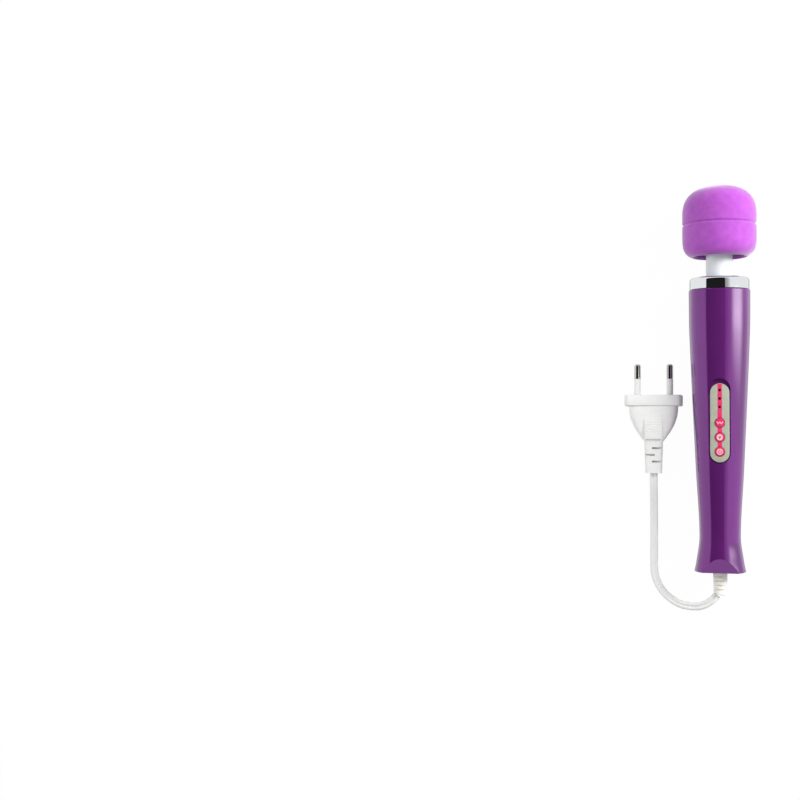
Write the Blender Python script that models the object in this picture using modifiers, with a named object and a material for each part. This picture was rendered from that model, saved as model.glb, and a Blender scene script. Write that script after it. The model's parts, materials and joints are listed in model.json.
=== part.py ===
"""Mains wand massager, lying on its back with its cord and flat two-pin plug beside it.

Metres, +Z up. The wand is built upright in the frame of the empty `wand_frame`: the empty's +Z
is the wand's axis, height 0 is the base end and the control panel faces -Y. That empty lays
the wand along world +Y with the panel up, tilted so that base rim and head both touch z = 0.
`panel_frame` follows the taper of the handle under the panel, and `plug_frame` holds the plug.
"""

import math

import bmesh
import bpy
from mathutils import Vector

# Fits
GAP = 0.0003                     # between pieces that touch
SWING_GAP = 0.0009               # around the neck, for its tilt
ROUND = 32                       # sides of a large turned piece
SMALL_ROUND = 16                 # sides of a small turned piece
FINE_ROUND = 12                  # sides of a screw, a pin or a light

# Handle, heights from its base end
HANDLE_LENGTH = 0.166
SHELL_WALL = 0.002
BASE_RADIUS = 0.0148
FLARE_HEIGHT = 0.0065
FLARE_RADIUS = 0.0136
WAIST_HEIGHT = 0.0207
WAIST_RADIUS = 0.01185
GRIP_HEIGHT = 0.060
GRIP_RADIUS = 0.01385
TOP_RADIUS = 0.01775
SHOULDER_DROP = 0.026            # from the handle's top to where it stops widening
SHOULDER_RADIUS = 0.0174
EDGE = 0.0005                    # chamfer of the base rim
BASE_INNER_RADIUS = 0.0080       # hollow at the base, small enough to clear the facet
FACET_HEIGHT = 0.0083
FACET_FOOT_DEPTH = 0.0100        # from the axis to the facet at the base end
FACET_TOP_DEPTH = 0.0132         # from the axis to the facet at its apex

# Control panel, depths inward from the handle's front line
PANEL_HEIGHT = 0.0876            # its middle
PANEL_LENGTH = 0.0461
PANEL_WIDTH = 0.0110
PANEL_RECESS = 0.0013
PANEL_THICKNESS = 0.0012
LEDGE_WIDTH = 0.0013             # ledge of the shell that the overlay is stuck to
LEDGE_DEPTH = 0.0042             # back face of that ledge
PAD_MARGIN = 0.0021              # how far the ledge's pad reaches past the pocket
PAD_TOP = 0.0026
BUTTON_DIAMETER = 0.0054
BUTTON_PITCH = 0.0084
LOWEST_BUTTON = 0.0167           # under the panel's middle
BUTTON_STAND = 0.0004            # above the overlay
BUTTON_TRAVEL = 0.0005
BUTTON_FLANGE = 0.0008
FLANGE_THICKNESS = 0.0006
FRAME_THICKNESS = 0.0010
SWITCH_SIDE = 0.0060
SWITCH_HEIGHT = 0.0020
PLUNGER_RADIUS = 0.0012
PLUNGER_LENGTH = 0.0015
BOARD_THICKNESS = 0.0012
CONTROL_BOARD_WIDTH = 0.0110
LIGHT_DIAMETER = 0.0014
LIGHT_PITCH = 0.0049
LOWEST_LIGHT = 0.0093            # above the panel's middle

# Case screws
SCREW_HEIGHTS = (0.0150, 0.0590, 0.1150)
BOSS_RADIUS = 0.0036
POST_RADIUS = 0.0026
HEAD_BORE_RADIUS = 0.0026
SCREW_HEAD_RADIUS = 0.0023
SCREW_HEAD_HEIGHT = 0.0014
SHANK_RADIUS = 0.0012
SCREW_SEAT = 0.0035              # from the parting plane to the seat of the head
SCREW_BITE = 0.0060              # thread length in the front post
BOSS_SINK = 0.0007               # how far a boss runs into the wall

# Motor
MOTOR_BASE = 0.1190
MOTOR_RADIUS = 0.0125
MOTOR_WALL = 0.0010
MOTOR_CAP = 0.0030
MOTOR_TO_BUSH = 0.0050
SHAFT_RADIUS = 0.0015
ROTOR_RADIUS = 0.0080
ROTOR_AIR_GAP = 0.0006
MOUNT_HEIGHT = 0.0045
MOUNT_INSET = 0.0035             # of each rubber mount from its end of the motor
COUPLER_RADIUS = 0.0034
COUPLER_LENGTH = 0.0060

# Neck
NECK_RADIUS = 0.0077
NECK_WALL = 0.0022
NECK_ROOT = 0.0030               # how far the sleeve reaches below the handle's top
NOD_ABOVE_ROOT = 0.0050          # height of the fore-and-aft pivot above the sleeve's root
BUSH_HEIGHT = 0.0075
BUSH_SHELF = 0.0036              # height of the narrow part of the bush
BUSH_BORE = 0.0050
COLLAR_RADIUS = 0.0172
COLLAR_HEIGHT = 0.0070
COLLAR_WALL = 0.0015
COLLAR_ROUNDING = 0.0022
SPRING_RADIUS = 0.0030
SPRING_WIRE = 0.0006
SPRING_TURNS = 6
SPRING_END_GAP = 0.0010          # from each pivot

# Head, heights from its bottom
HEAD_CLEARANCE = 0.0110          # from the collar to the head's lowest rim
HEAD_RADIUS = 0.0214
HEAD_LENGTH = 0.0436
SEAM_HEIGHT = 0.0204
SEAM_DEPTH = 0.0008
SEAM_WIDTH = 0.0014
LOWER_CENTRE = 0.0158            # where the side starts to round off downwards
UPPER_CENTRE = 0.0258            # and upwards
LOWER_FULLNESS = 4.0             # exponents of the two superellipses
UPPER_FULLNESS = 2.6
RECESS_RADIUS = 0.0148
LIP_HEIGHT = 0.0033
COVER_WALL = 0.0049
FLANGE_HEIGHT = 0.0020
SWAY_HEIGHT = 0.0059             # of the sideways pivot above the head's bottom
CARRIER_WALL = 0.0022
SOCKET_DEPTH = 0.0032
WEB = 0.0020
BEARING_RADIUS = 0.0080
BEARING_HEIGHT = 0.0050
ECCENTRIC_SHAFT_RADIUS = 0.0025
WEIGHT_RADIUS = 0.0122
WEIGHT_HEIGHT = 0.0085
WEIGHT_HUB_RADIUS = 0.0048
CAP_HEIGHT = 0.0070

# Supply parts in the lower handle
POWER_BOARD_START = 0.0215
POWER_BOARD_LENGTH = 0.0325
POWER_BOARD_WIDTH = 0.0140
POWER_BOARD_DEPTH = 0.0020       # behind the axis
CAPACITOR_RADIUS = 0.0040
CAPACITOR_LENGTH = 0.0140
RECTIFIER_SIZE = (0.0080, 0.0040, 0.0070)
WIRE_RADIUS = 0.0008

# Cord and its strain relief
CORD_DIAMETER = 0.0043
RELIEF_RADIUS = 0.0042
RELIEF_NECK_RADIUS = 0.0031
RELIEF_FLANGE_RADIUS = 0.0052
RELIEF_FLANGE_HEIGHT = 0.0020
RELIEF_LENGTH = 0.0136
RELIEF_STRAIGHT = 0.0080         # before it bends sideways
RELIEF_BEND = math.radians(33)
RELIEF_RIBS = 5
RIB_GROOVE = 0.0009              # depth of the grooves between ribs
BASE_WALL = 0.0025

# Plug, along its own +Y from the cord to the pins
PLUG_PLACE = Vector((-0.0389, 0.10464, 0.00685))
PLUG_THICKNESS = 0.0137
PLATE_WIDTH = 0.0344
PLATE_LENGTH = 0.0066
BODY_THICKNESS = 0.0118
BODY_LENGTH = 0.0215
BODY_TOP_WIDTH = 0.0290
BODY_END_WIDTH = 0.0111
TAIL_LENGTH = 0.0191
TAIL_END_WIDTH = 0.0098
TAIL_SLOTS = 3
PIN_PITCH = 0.0193
PIN_RADIUS = 0.0020
PIN_CORE_RADIUS = 0.0013
PIN_LENGTH = 0.0190
PIN_SLEEVE = 0.0100
PIN_BURIED = 0.0050

# The cord's route on its centreline, from the strain relief round to the plug
CORD_ROUTE = (
    (-0.00190, -0.01391, 0.01430),
    (-0.00512, -0.01744, 0.01385),
    (-0.00951, -0.02018, 0.01255),
    (-0.01449, -0.02148, 0.01080),
    (-0.02216, -0.02082, 0.00825),
    (-0.02761, -0.01856, 0.00600),
    (-0.03229, -0.01497, 0.00420),
    (-0.03588, -0.01029, 0.00300),
    (-0.03814, -0.00484, 0.00248),
    (-0.03890, 0.00114, 0.00235),
    (-0.03890, 0.00824, 0.00235),
    (-0.03890, 0.01524, 0.00235),
    (-0.03890, 0.02224, 0.00235),
    (-0.03890, 0.02924, 0.00235),
    (-0.03890, 0.03574, 0.00265),
    (-0.03890, 0.04174, 0.00385),
    (-0.03890, 0.04774, 0.00545),
    (-0.03890, 0.05324, 0.00660),
    (-0.03890, 0.05714, 0.00685),
)
CORD_STEP = 2 * CORD_DIAMETER

# Sizes that follow from those above
MOTOR_TOP = HANDLE_LENGTH - BUSH_HEIGHT - MOTOR_TO_BUSH
COLLAR_TOP = HANDLE_LENGTH + GAP + COLLAR_HEIGHT
NECK_BASE = HANDLE_LENGTH - NECK_ROOT
NOD_HEIGHT = NECK_BASE + NOD_ABOVE_ROOT
HEAD_BASE = COLLAR_TOP + HEAD_CLEARANCE
SWAY_PIVOT = HEAD_BASE + SWAY_HEIGHT
FLANGE_BASE = HEAD_BASE + LIP_HEIGHT + GAP
CARRIER_BASE = FLANGE_BASE + FLANGE_HEIGHT + GAP
SOCKET_TOP = CARRIER_BASE + SOCKET_DEPTH
CARRIER_RADIUS = HEAD_RADIUS - COVER_WALL - GAP
CHAMBER_RADIUS = CARRIER_RADIUS - CARRIER_WALL
SEAT_BASE = SOCKET_TOP + WEB
SEAT_TOP = SEAT_BASE + GAP + BEARING_HEIGHT + GAP
CAP_BASE = SEAT_TOP + 4 * GAP + WEIGHT_HEIGHT + 4 * GAP
CARRIER_TOP = CAP_BASE + CAP_HEIGHT
NECK_TOP = SOCKET_TOP - SWING_GAP

LOOKS = {                        # colour, roughness, metallic
    "purple_shell": ((0.205, 0.062, 0.270), 0.18, 0.0),
    "orchid_soft": ((0.450, 0.120, 0.560), 0.60, 0.0),
    "chrome": ((0.85, 0.86, 0.87), 0.06, 1.0),
    "white_gloss": ((0.84, 0.85, 0.86), 0.22, 0.0),
    "white_pvc": ((0.80, 0.80, 0.79), 0.40, 0.0),
    "grey_plastic": ((0.35, 0.34, 0.38), 0.45, 0.0),
    "panel_grey": ((0.46, 0.48, 0.37), 0.35, 0.0),
    "button_pink": ((0.72, 0.05, 0.16), 0.35, 0.0),
    "dark_lens": ((0.01, 0.012, 0.012), 0.15, 0.0),
    "steel": ((0.62, 0.62, 0.63), 0.30, 1.0),
    "black_rubber": ((0.02, 0.02, 0.02), 0.70, 0.0),
    "board_green": ((0.02, 0.16, 0.06), 0.45, 0.0),
    "copper": ((0.60, 0.28, 0.13), 0.35, 1.0),
    "black_plastic": ((0.02, 0.02, 0.022), 0.40, 0.0),
    "wire_red": ((0.50, 0.02, 0.02), 0.45, 0.0),
    "wire_blue": ((0.03, 0.08, 0.45), 0.45, 0.0),
    "wire_brown": ((0.18, 0.07, 0.03), 0.45, 0.0),
}


# ---------------------------------------------------------------- tools

def clear_scene():
    for obj in list(bpy.data.objects):
        bpy.data.objects.remove(obj, do_unlink=True)


def new_collection(name):
    made = bpy.data.collections.new(name)
    bpy.context.scene.collection.children.link(made)
    return made


def empty(name, location, rotation=(0, 0, 0), parent=None):
    made = bpy.data.objects.new(name, None)
    made.location = location
    made.rotation_euler = rotation
    made.parent = parent
    PARTS.objects.link(made)
    return made


def surface_of(name, look):
    """A material of its own for the piece of that name."""
    colour, roughness, metallic = LOOKS[look]
    material = bpy.data.materials.new(name)
    material.use_nodes = True
    surface = material.node_tree.nodes["Principled BSDF"]
    surface.inputs["Base Color"].default_value = (*colour, 1)
    surface.inputs["Roughness"].default_value = roughness
    surface.inputs["Metallic"].default_value = metallic
    return material


def part(name, mesh, look, parent, location=(0, 0, 0), rotation=(0, 0, 0)):
    """A visible piece with a material of its own."""
    mesh.materials.append(surface_of(name, look))
    if mesh.polygons:
        mesh.shade_smooth()
        mesh.set_sharp_from_angle(angle=math.radians(35))
    made = bpy.data.objects.new(name, mesh)
    made.location = location
    made.rotation_euler = rotation
    made.parent = parent
    PARTS.objects.link(made)
    return made


def cutter(name, mesh, parent, location=(0, 0, 0), rotation=(0, 0, 0)):
    """A helper that only shapes other pieces."""
    made = bpy.data.objects.new(name, mesh)
    made.location = location
    made.rotation_euler = rotation
    made.parent = parent
    made.hide_render = True
    made.display_type = "WIRE"
    CUTTERS.objects.link(made)
    return made


def combine(obj, other, operation):
    boolean = obj.modifiers.new(other.name, "BOOLEAN")
    boolean.operation = operation
    boolean.object = other


def mesh_of(name, shape):
    mesh = bpy.data.meshes.new(name)
    shape.to_mesh(mesh)
    shape.free()
    return mesh


def box_mesh(name, low, high, rounding=0.0, along=None):
    """A box between two corners; its edges along one axis, 0 to 2, can be rounded."""
    low = Vector(low)
    high = Vector(high)
    shape = bmesh.new()
    bmesh.ops.create_cube(shape, size=1)
    bmesh.ops.scale(shape, vec=high - low, verts=shape.verts)
    bmesh.ops.translate(shape, vec=(low + high) / 2, verts=shape.verts)
    if rounding:
        edges = [e for e in shape.edges if is_along(e, along)]
        bmesh.ops.bevel(
            shape, geom=edges, offset=rounding, segments=5, profile=0.5, affect="EDGES"
        )
    return mesh_of(name, shape)


def is_along(edge, axis):
    way = edge.verts[0].co - edge.verts[1].co
    return abs(way[axis]) > 0.99 * way.length


def rod_mesh(name, radius, start, end, axis=2, sides=SMALL_ROUND, at=(0, 0, 0)):
    """A cylinder along one axis, 0 to 2, from start to end."""
    shape = bmesh.new()
    bmesh.ops.create_cone(
        shape,
        cap_ends=True,
        segments=sides,
        radius1=radius,
        radius2=radius,
        depth=end - start,
    )
    bmesh.ops.translate(shape, vec=(0, 0, (start + end) / 2), verts=shape.verts)
    for vert in shape.verts:
        x, y, z = vert.co
        vert.co = ((z, x, y), (y, z, x), (x, y, z))[axis]
    bmesh.ops.translate(shape, vec=at, verts=shape.verts)
    return mesh_of(name, shape)


def turned(obj, sides):
    """Turns the object's outline about its own Z."""
    screw = obj.modifiers.new("turn", "SCREW")
    screw.axis = "Z"
    screw.angle = math.tau
    screw.steps = sides
    screw.render_steps = sides
    screw.use_merge_vertices = True
    screw.merge_threshold = 0.00001
    screw.use_smooth_shade = True
    return obj


def outline_mesh(name, outline, ring=True):
    """(radius, height) points that run down the outer side; a ring's outline closes on itself."""
    points = [(radius, 0, height) for radius, height in outline]
    edges = [(i, i + 1) for i in range(len(points) - 1)]
    if ring:
        edges.append((len(points) - 1, 0))
    mesh = bpy.data.meshes.new(name)
    mesh.from_pydata(points, edges, [])
    return mesh


def turned_part(name, outline, look, parent, ring=True, sides=ROUND):
    return turned(part(name, outline_mesh(name, outline, ring), look, parent), sides)


def tube_outline(outer, inner, low, high):
    return [(outer, high), (outer, low), (inner, low), (inner, high)]


def smooth_value(stations, at):
    """Height of the smooth curve through (place, value) stations."""
    last = len(stations) - 1
    i = 0
    while i < last - 1 and at > stations[i + 1][0]:
        i += 1
    (x0, y0), (x1, y1) = stations[i], stations[i + 1]
    before = stations[max(i - 1, 0)]
    after = stations[min(i + 2, last)]
    slope0 = (y1 - before[1]) / (x1 - before[0])
    slope1 = (after[1] - y0) / (after[0] - x0)
    span = x1 - x0
    t = min(max((at - x0) / span, 0), 1)
    return (
        (2 * t**3 - 3 * t**2 + 1) * y0
        + (t**3 - 2 * t**2 + t) * span * slope0
        + (3 * t**2 - 2 * t**3) * y1
        + (t**3 - t**2) * span * slope1
    )


def smooth_path(route, step):
    """Points every step or so along the smooth curve through the route."""
    route = [Vector(p) for p in route]
    places = [0.0]
    for a, b in zip(route, route[1:]):
        places.append(places[-1] + (b - a).length)
    count = max(2, round(places[-1] / step))
    curves = [[(s, p[axis]) for s, p in zip(places, route)] for axis in range(3)]
    stops = [places[-1] * i / count for i in range(count + 1)]
    return [tuple(smooth_value(curve, s) for curve in curves) for s in stops]


def wire_curve(name, points, radius, resolution):
    curve = bpy.data.curves.new(name, "CURVE")
    curve.dimensions = "3D"
    curve.bevel_depth = radius
    curve.bevel_resolution = resolution
    curve.use_fill_caps = True
    line = curve.splines.new("POLY")
    line.points.add(len(points) - 1)
    for point, place in zip(line.points, points):
        point.co = (*place, 1)
    return curve


def wire(name, points, radius, look, parent, resolution=1):
    curve = wire_curve(name, points, radius, resolution)
    curve.materials.append(surface_of(name, look))
    made = bpy.data.objects.new(name, curve)
    made.parent = parent
    PARTS.objects.link(made)
    return made


# ---------------------------------------------------------------- shapes shared by pieces

HANDLE_STATIONS = (
    (0.0, BASE_RADIUS),
    (FLARE_HEIGHT, FLARE_RADIUS),
    (WAIST_HEIGHT, WAIST_RADIUS),
    (GRIP_HEIGHT, GRIP_RADIUS),
    (HANDLE_LENGTH - SHOULDER_DROP, SHOULDER_RADIUS),
    (HANDLE_LENGTH, TOP_RADIUS),
)


def outer_radius(height):
    return smooth_value(HANDLE_STATIONS, height)


def inner_radius(height):
    """The hollow narrows towards the base below the waist, and follows the outside above it."""
    waist_inner = WAIST_RADIUS - SHELL_WALL
    if height >= WAIST_HEIGHT:
        return outer_radius(height) - SHELL_WALL
    share = height / WAIST_HEIGHT
    return BASE_INNER_RADIUS + (waist_inner - BASE_INNER_RADIUS) * share


def superellipse(radius, height, fullness, steps):
    """Points from the side, (radius, 0), to the pole, (0, height)."""
    found = []
    for i in range(steps + 1):
        angle = math.pi / 2 * i / steps
        r = radius * math.cos(angle) ** (2 / fullness)
        found.append((r, height * math.sin(angle) ** (2 / fullness)))
    return found


def head_outline():
    """The cover's outside, from the crown down to the lip of the recess."""
    crown = superellipse(HEAD_RADIUS, HEAD_LENGTH - UPPER_CENTRE, UPPER_FULLNESS, 9)
    crown[-1] = (0.0, crown[-1][1])
    outline = [(r, HEAD_BASE + UPPER_CENTRE + h) for r, h in reversed(crown)]
    seam = HEAD_BASE + SEAM_HEIGHT
    outline.append((HEAD_RADIUS, seam + SEAM_WIDTH / 2))
    outline.append((HEAD_RADIUS - SEAM_DEPTH, seam))
    outline.append((HEAD_RADIUS, seam - SEAM_WIDTH / 2))
    foot = superellipse(HEAD_RADIUS, LOWER_CENTRE, LOWER_FULLNESS, 12)
    kept = [(r, h) for r, h in foot if r > RECESS_RADIUS + EDGE]
    outline += [(r, HEAD_BASE + LOWER_CENTRE - h) for r, h in kept]
    return outline


def resting_tilt():
    """Slope of the line that touches the base rim and the head."""
    return math.atan(max((r - BASE_RADIUS) / (h - EDGE) for r, h in head_outline()))


def relief_point(point):
    """A point of the straight strain relief, moved to where the bent one has it."""
    x, y, height = point
    beyond = -height - RELIEF_STRAIGHT
    if beyond <= 0:
        return point
    radius = (RELIEF_LENGTH - RELIEF_STRAIGHT) / RELIEF_BEND
    angle = beyond / radius
    across = -radius * (1 - math.cos(angle)) + x * math.cos(angle)
    down = RELIEF_STRAIGHT + radius * math.sin(angle) + x * math.sin(angle)
    return (across, y, -down)


# ---------------------------------------------------------------- handle shells

def handle_outline():
    above = [WAIST_HEIGHT, 0.031, 0.044, GRIP_HEIGHT, 0.076, 0.092, 0.108, 0.124]
    above = [h for h in above if h < HANDLE_LENGTH - SHOULDER_DROP]
    above += [HANDLE_LENGTH - SHOULDER_DROP, HANDLE_LENGTH - SHOULDER_DROP / 2]
    below = [0.0028, FLARE_HEIGHT, 0.0105, 0.0150]
    outline = [(TOP_RADIUS, HANDLE_LENGTH)]
    outline += [(outer_radius(h), h) for h in reversed(above)]
    outline += [(outer_radius(h), h) for h in reversed(below)]
    outline += [(BASE_RADIUS, EDGE), (BASE_RADIUS - EDGE, 0)]
    hole = RELIEF_NECK_RADIUS + GAP
    outline += [(hole, 0), (hole, BASE_WALL), (inner_radius(BASE_WALL), BASE_WALL)]
    outline += [(inner_radius(h), h) for h in above]
    outline.append((TOP_RADIUS - SHELL_WALL, HANDLE_LENGTH))
    return outline


def half_space(name, side):
    """A block over all that lies on one side, -1 or 1, of the parting plane's gap."""
    reach = 0.05
    near = -side * GAP / 2
    low = (-reach, min(near, side * reach), -reach)
    high = (reach, max(near, side * reach), HANDLE_LENGTH + reach)
    return cutter(name, box_mesh(name, low, high), WAND)


def screw_bore(height, index):
    """Head bore and shank hole of the back shell, turned along the screw's axis."""
    reach = outer_radius(height) + SHELL_WALL
    hole = SHANK_RADIUS + GAP
    outline = [(0, reach), (HEAD_BORE_RADIUS, reach), (HEAD_BORE_RADIUS, SCREW_SEAT)]
    outline += [(hole, SCREW_SEAT), (hole, -SHELL_WALL), (0, -SHELL_WALL)]
    name = f"screw_bore_{index}"
    made = cutter(name, outline_mesh(name, outline, False), WAND, (0, 0, height))
    made.rotation_euler = (-math.pi / 2, 0, 0)
    return turned(made, FINE_ROUND)


def make_shells():
    outline = handle_outline()
    front = turned_part("handle_front_shell", outline, "purple_shell", WAND)
    back = turned_part("handle_back_shell", outline, "purple_shell", WAND)
    combine(front, half_space("behind_parting", 1), "DIFFERENCE")
    combine(back, half_space("ahead_of_parting", -1), "DIFFERENCE")

    pad_half = PANEL_WIDTH / 2 + GAP + PAD_MARGIN
    pad_end = PANEL_LENGTH / 2 + GAP + PAD_MARGIN
    low = (-pad_half, PAD_TOP, -pad_end)
    high = (pad_half, LEDGE_DEPTH, pad_end)
    pad = box_mesh("panel_pad", low, high, pad_half * 0.98, 1)
    combine(front, cutter("panel_pad", pad, PANEL), "UNION")
    pocket = stadium("panel_pocket", PANEL_WIDTH + 2 * GAP, PANEL_LENGTH + 2 * GAP,
                     -0.006, PANEL_RECESS + PANEL_THICKNESS + GAP)
    combine(front, cutter("panel_pocket", pocket, PANEL), "DIFFERENCE")
    window = stadium("panel_window", PANEL_WIDTH - 2 * LEDGE_WIDTH,
                     PANEL_LENGTH - 2 * LEDGE_WIDTH, 0, LEDGE_DEPTH + SHELL_WALL)
    combine(front, cutter("panel_window", window, PANEL), "DIFFERENCE")

    lean = math.atan((FACET_TOP_DEPTH - FACET_FOOT_DEPTH) / FACET_HEIGHT)
    facet = box_mesh("base_facet", (-0.03, -0.03, -0.03), (0.03, 0, 0.03))
    combine(
        front,
        cutter("base_facet", facet, WAND, (0, -FACET_FOOT_DEPTH, 0), (lean, 0, 0)),
        "DIFFERENCE",
    )

    for index, height in enumerate(SCREW_HEIGHTS, 1):
        wall = outer_radius(height) - SHELL_WALL + BOSS_SINK
        boss = rod_mesh("boss", BOSS_RADIUS, GAP / 2, wall, 1, SMALL_ROUND, (0, 0, height))
        combine(back, cutter(f"screw_boss_{index}", boss, WAND), "UNION")
        combine(back, screw_bore(height, index), "DIFFERENCE")
        post = rod_mesh("post", POST_RADIUS, -wall, -GAP / 2, 1, SMALL_ROUND, (0, 0, height))
        combine(front, cutter(f"screw_post_{index}", post, WAND), "UNION")
        depth = SCREW_BITE + GAP
        hole = rod_mesh("pilot", SHANK_RADIUS + GAP, -depth, SHELL_WALL, 1, FINE_ROUND,
                        (0, 0, height))
        combine(front, cutter(f"screw_pilot_{index}", hole, WAND), "DIFFERENCE")


def make_case_screws():
    for index, height in enumerate(SCREW_HEIGHTS, 1):
        seat = SCREW_SEAT + GAP
        outline = [(0, seat + SCREW_HEAD_HEIGHT), (SCREW_HEAD_RADIUS, seat + SCREW_HEAD_HEIGHT)]
        outline += [(SCREW_HEAD_RADIUS, seat), (SHANK_RADIUS, seat)]
        outline += [(SHANK_RADIUS, -SCREW_BITE), (0, -SCREW_BITE)]
        name = f"case_screw_{index}"
        screw = turned_part(name, outline, "steel", WAND, False, FINE_ROUND)
        screw.location = (0, 0, height)
        screw.rotation_euler = (-math.pi / 2, 0, 0)


# ---------------------------------------------------------------- control panel

def stadium(name, width, length, top, bottom):
    """A round-ended plate in the panel's frame, between two depths."""
    low = (-width / 2, top, -length / 2)
    high = (width / 2, bottom, length / 2)
    return box_mesh(name, low, high, width / 2 * 0.98, 1)


def panel_holes():
    """(name, place along the panel, radius) of each hole through overlay and frame."""
    found = []
    for index, name in enumerate(BUTTONS):
        found.append((name, index * BUTTON_PITCH - LOWEST_BUTTON, BUTTON_DIAMETER / 2))
    for index in range(3):
        found.append((f"light_{index + 1}", LOWEST_LIGHT + index * LIGHT_PITCH, LIGHT_DIAMETER / 2))
    return found


BUTTONS = ("power", "slower", "pattern")


def make_panel():
    top = PANEL_RECESS
    overlay = stadium("panel_overlay", PANEL_WIDTH, PANEL_LENGTH, top, top + PANEL_THICKNESS)
    overlay = part("panel_overlay", overlay, "panel_grey", PANEL)
    frame_top = LEDGE_DEPTH + GAP
    half = PANEL_WIDTH / 2 + GAP
    end = PANEL_LENGTH / 2 + GAP
    frame_bottom = frame_top + FRAME_THICKNESS
    frame = box_mesh("keypad_frame", (-half, frame_top, -end), (half, frame_bottom, end), 0.003, 1)
    frame = part("keypad_frame", frame, "black_plastic", PANEL)
    switch_top = frame_bottom + GAP + FLANGE_THICKNESS + GAP + BUTTON_TRAVEL
    board_top = switch_top + SWITCH_HEIGHT + GAP
    for name, place, radius in panel_holes():
        bore = rod_mesh("bore", radius + GAP, 0, frame_bottom + GAP, 1, SMALL_ROUND, (0, 0, place))
        bore = cutter(f"{name}_bore", bore, PANEL)
        combine(overlay, bore, "DIFFERENCE")
        combine(frame, bore, "DIFFERENCE")
    for name, place, radius in panel_holes()[:3]:
        make_button(name, place, radius, frame_bottom)
        make_switch(name, place, switch_top)
    for name, place, radius in panel_holes()[3:]:
        lens = rod_mesh(name, radius, top, board_top - GAP, 1, FINE_ROUND, (0, 0, place))
        part(f"indicator_{name}", lens, "dark_lens", PANEL)
    board = box_mesh(
        "control_board",
        (-CONTROL_BOARD_WIDTH / 2, board_top, -end),
        (CONTROL_BOARD_WIDTH / 2, board_top + BOARD_THICKNESS, end),
    )
    part("control_board", board, "board_green", PANEL)


def make_button(name, place, radius, frame_bottom):
    """Cap with a flange behind the frame; the outline is turned and pointed outward."""
    flange_top = frame_bottom + GAP
    top = PANEL_RECESS - BUTTON_STAND
    bottom = flange_top + FLANGE_THICKNESS
    outline = [(0, -top), (radius - 0.0003, -top), (radius, -top - 0.0003)]
    outline += [(radius, -flange_top), (radius + BUTTON_FLANGE, -flange_top)]
    outline += [(radius + BUTTON_FLANGE, -bottom), (0, -bottom)]
    button = turned_part(f"button_{name}", outline, "button_pink", PANEL, False, SMALL_ROUND)
    button.location = (0, 0, place)
    button.rotation_euler = (math.pi / 2, 0, 0)
    start = bottom + GAP
    plunger = rod_mesh("plunger", PLUNGER_RADIUS, start, start + PLUNGER_LENGTH, 1, FINE_ROUND)
    part(f"plunger_{name}", plunger, "black_plastic", PANEL, (0, 0, place))


def make_switch(name, place, top):
    half = SWITCH_SIDE / 2
    block = box_mesh("switch", (-half, top, -half), (half, top + SWITCH_HEIGHT, half))
    switch = part(f"tact_switch_{name}", block, "steel", PANEL, (0, 0, place))
    well = rod_mesh("well", PLUNGER_RADIUS + GAP, top - GAP, top + PLUNGER_LENGTH + GAP / 2, 1,
                    FINE_ROUND)
    combine(switch, cutter(f"{name}_well", well, PANEL, (0, 0, place)), "DIFFERENCE")


# ---------------------------------------------------------------- motor and drive

def make_motor():
    can_inner = MOTOR_RADIUS - MOTOR_WALL
    hole = SHAFT_RADIUS + GAP
    can_base = MOTOR_BASE + MOTOR_CAP + GAP
    outline = [(MOTOR_RADIUS, MOTOR_TOP), (MOTOR_RADIUS, can_base), (can_inner, can_base)]
    outline += [(can_inner, MOTOR_TOP - MOTOR_WALL), (hole, MOTOR_TOP - MOTOR_WALL)]
    outline += [(hole, MOTOR_TOP)]
    turned_part("motor_can", outline, "steel", WAND)
    cap_outline = tube_outline(MOTOR_RADIUS, hole, MOTOR_BASE, MOTOR_BASE + MOTOR_CAP)
    turned_part("motor_end_cap", cap_outline, "black_plastic", WAND)

    low = can_base + 0.004
    high = MOTOR_TOP - MOTOR_WALL - 0.003
    core_hole = SHAFT_RADIUS + GAP
    turned_part("motor_rotor", tube_outline(ROTOR_RADIUS, core_hole, low, high), "copper", WAND)
    magnet = tube_outline(can_inner - GAP, ROTOR_RADIUS + ROTOR_AIR_GAP, low, high)
    for side, name in ((-1, "left"), (1, "right")):
        arc = turned_part(f"motor_magnet_{name}", magnet, "black_plastic", WAND)
        reach = MOTOR_RADIUS + GAP
        near = side * MOTOR_RADIUS / 3
        corners = sorted((near, side * reach))
        keep = box_mesh("keep", (corners[0], -reach, low - GAP), (corners[1], reach, high + GAP))
        combine(arc, cutter(f"magnet_keep_{name}", keep, WAND), "INTERSECT")

    shaft_top = NOD_HEIGHT - SPRING_END_GAP
    shaft = rod_mesh("motor_shaft", SHAFT_RADIUS, MOTOR_BASE + GAP, shaft_top)
    part("motor_shaft", shaft, "steel", WAND)
    coupler_top = shaft_top - GAP
    coupler = tube_outline(COUPLER_RADIUS, SHAFT_RADIUS + GAP, coupler_top - COUPLER_LENGTH,
                           coupler_top)
    turned_part("shaft_coupler", coupler, "steel", WAND, True, SMALL_ROUND)

    places = (can_base + MOUNT_INSET, MOTOR_TOP - MOUNT_INSET - MOUNT_HEIGHT)
    for name, start in zip(("lower", "upper"), places):
        ring = tube_outline(inner_radius(start) - GAP, MOTOR_RADIUS + GAP, start,
                            start + MOUNT_HEIGHT)
        turned_part(f"motor_mount_{name}", ring, "black_rubber", WAND)


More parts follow.
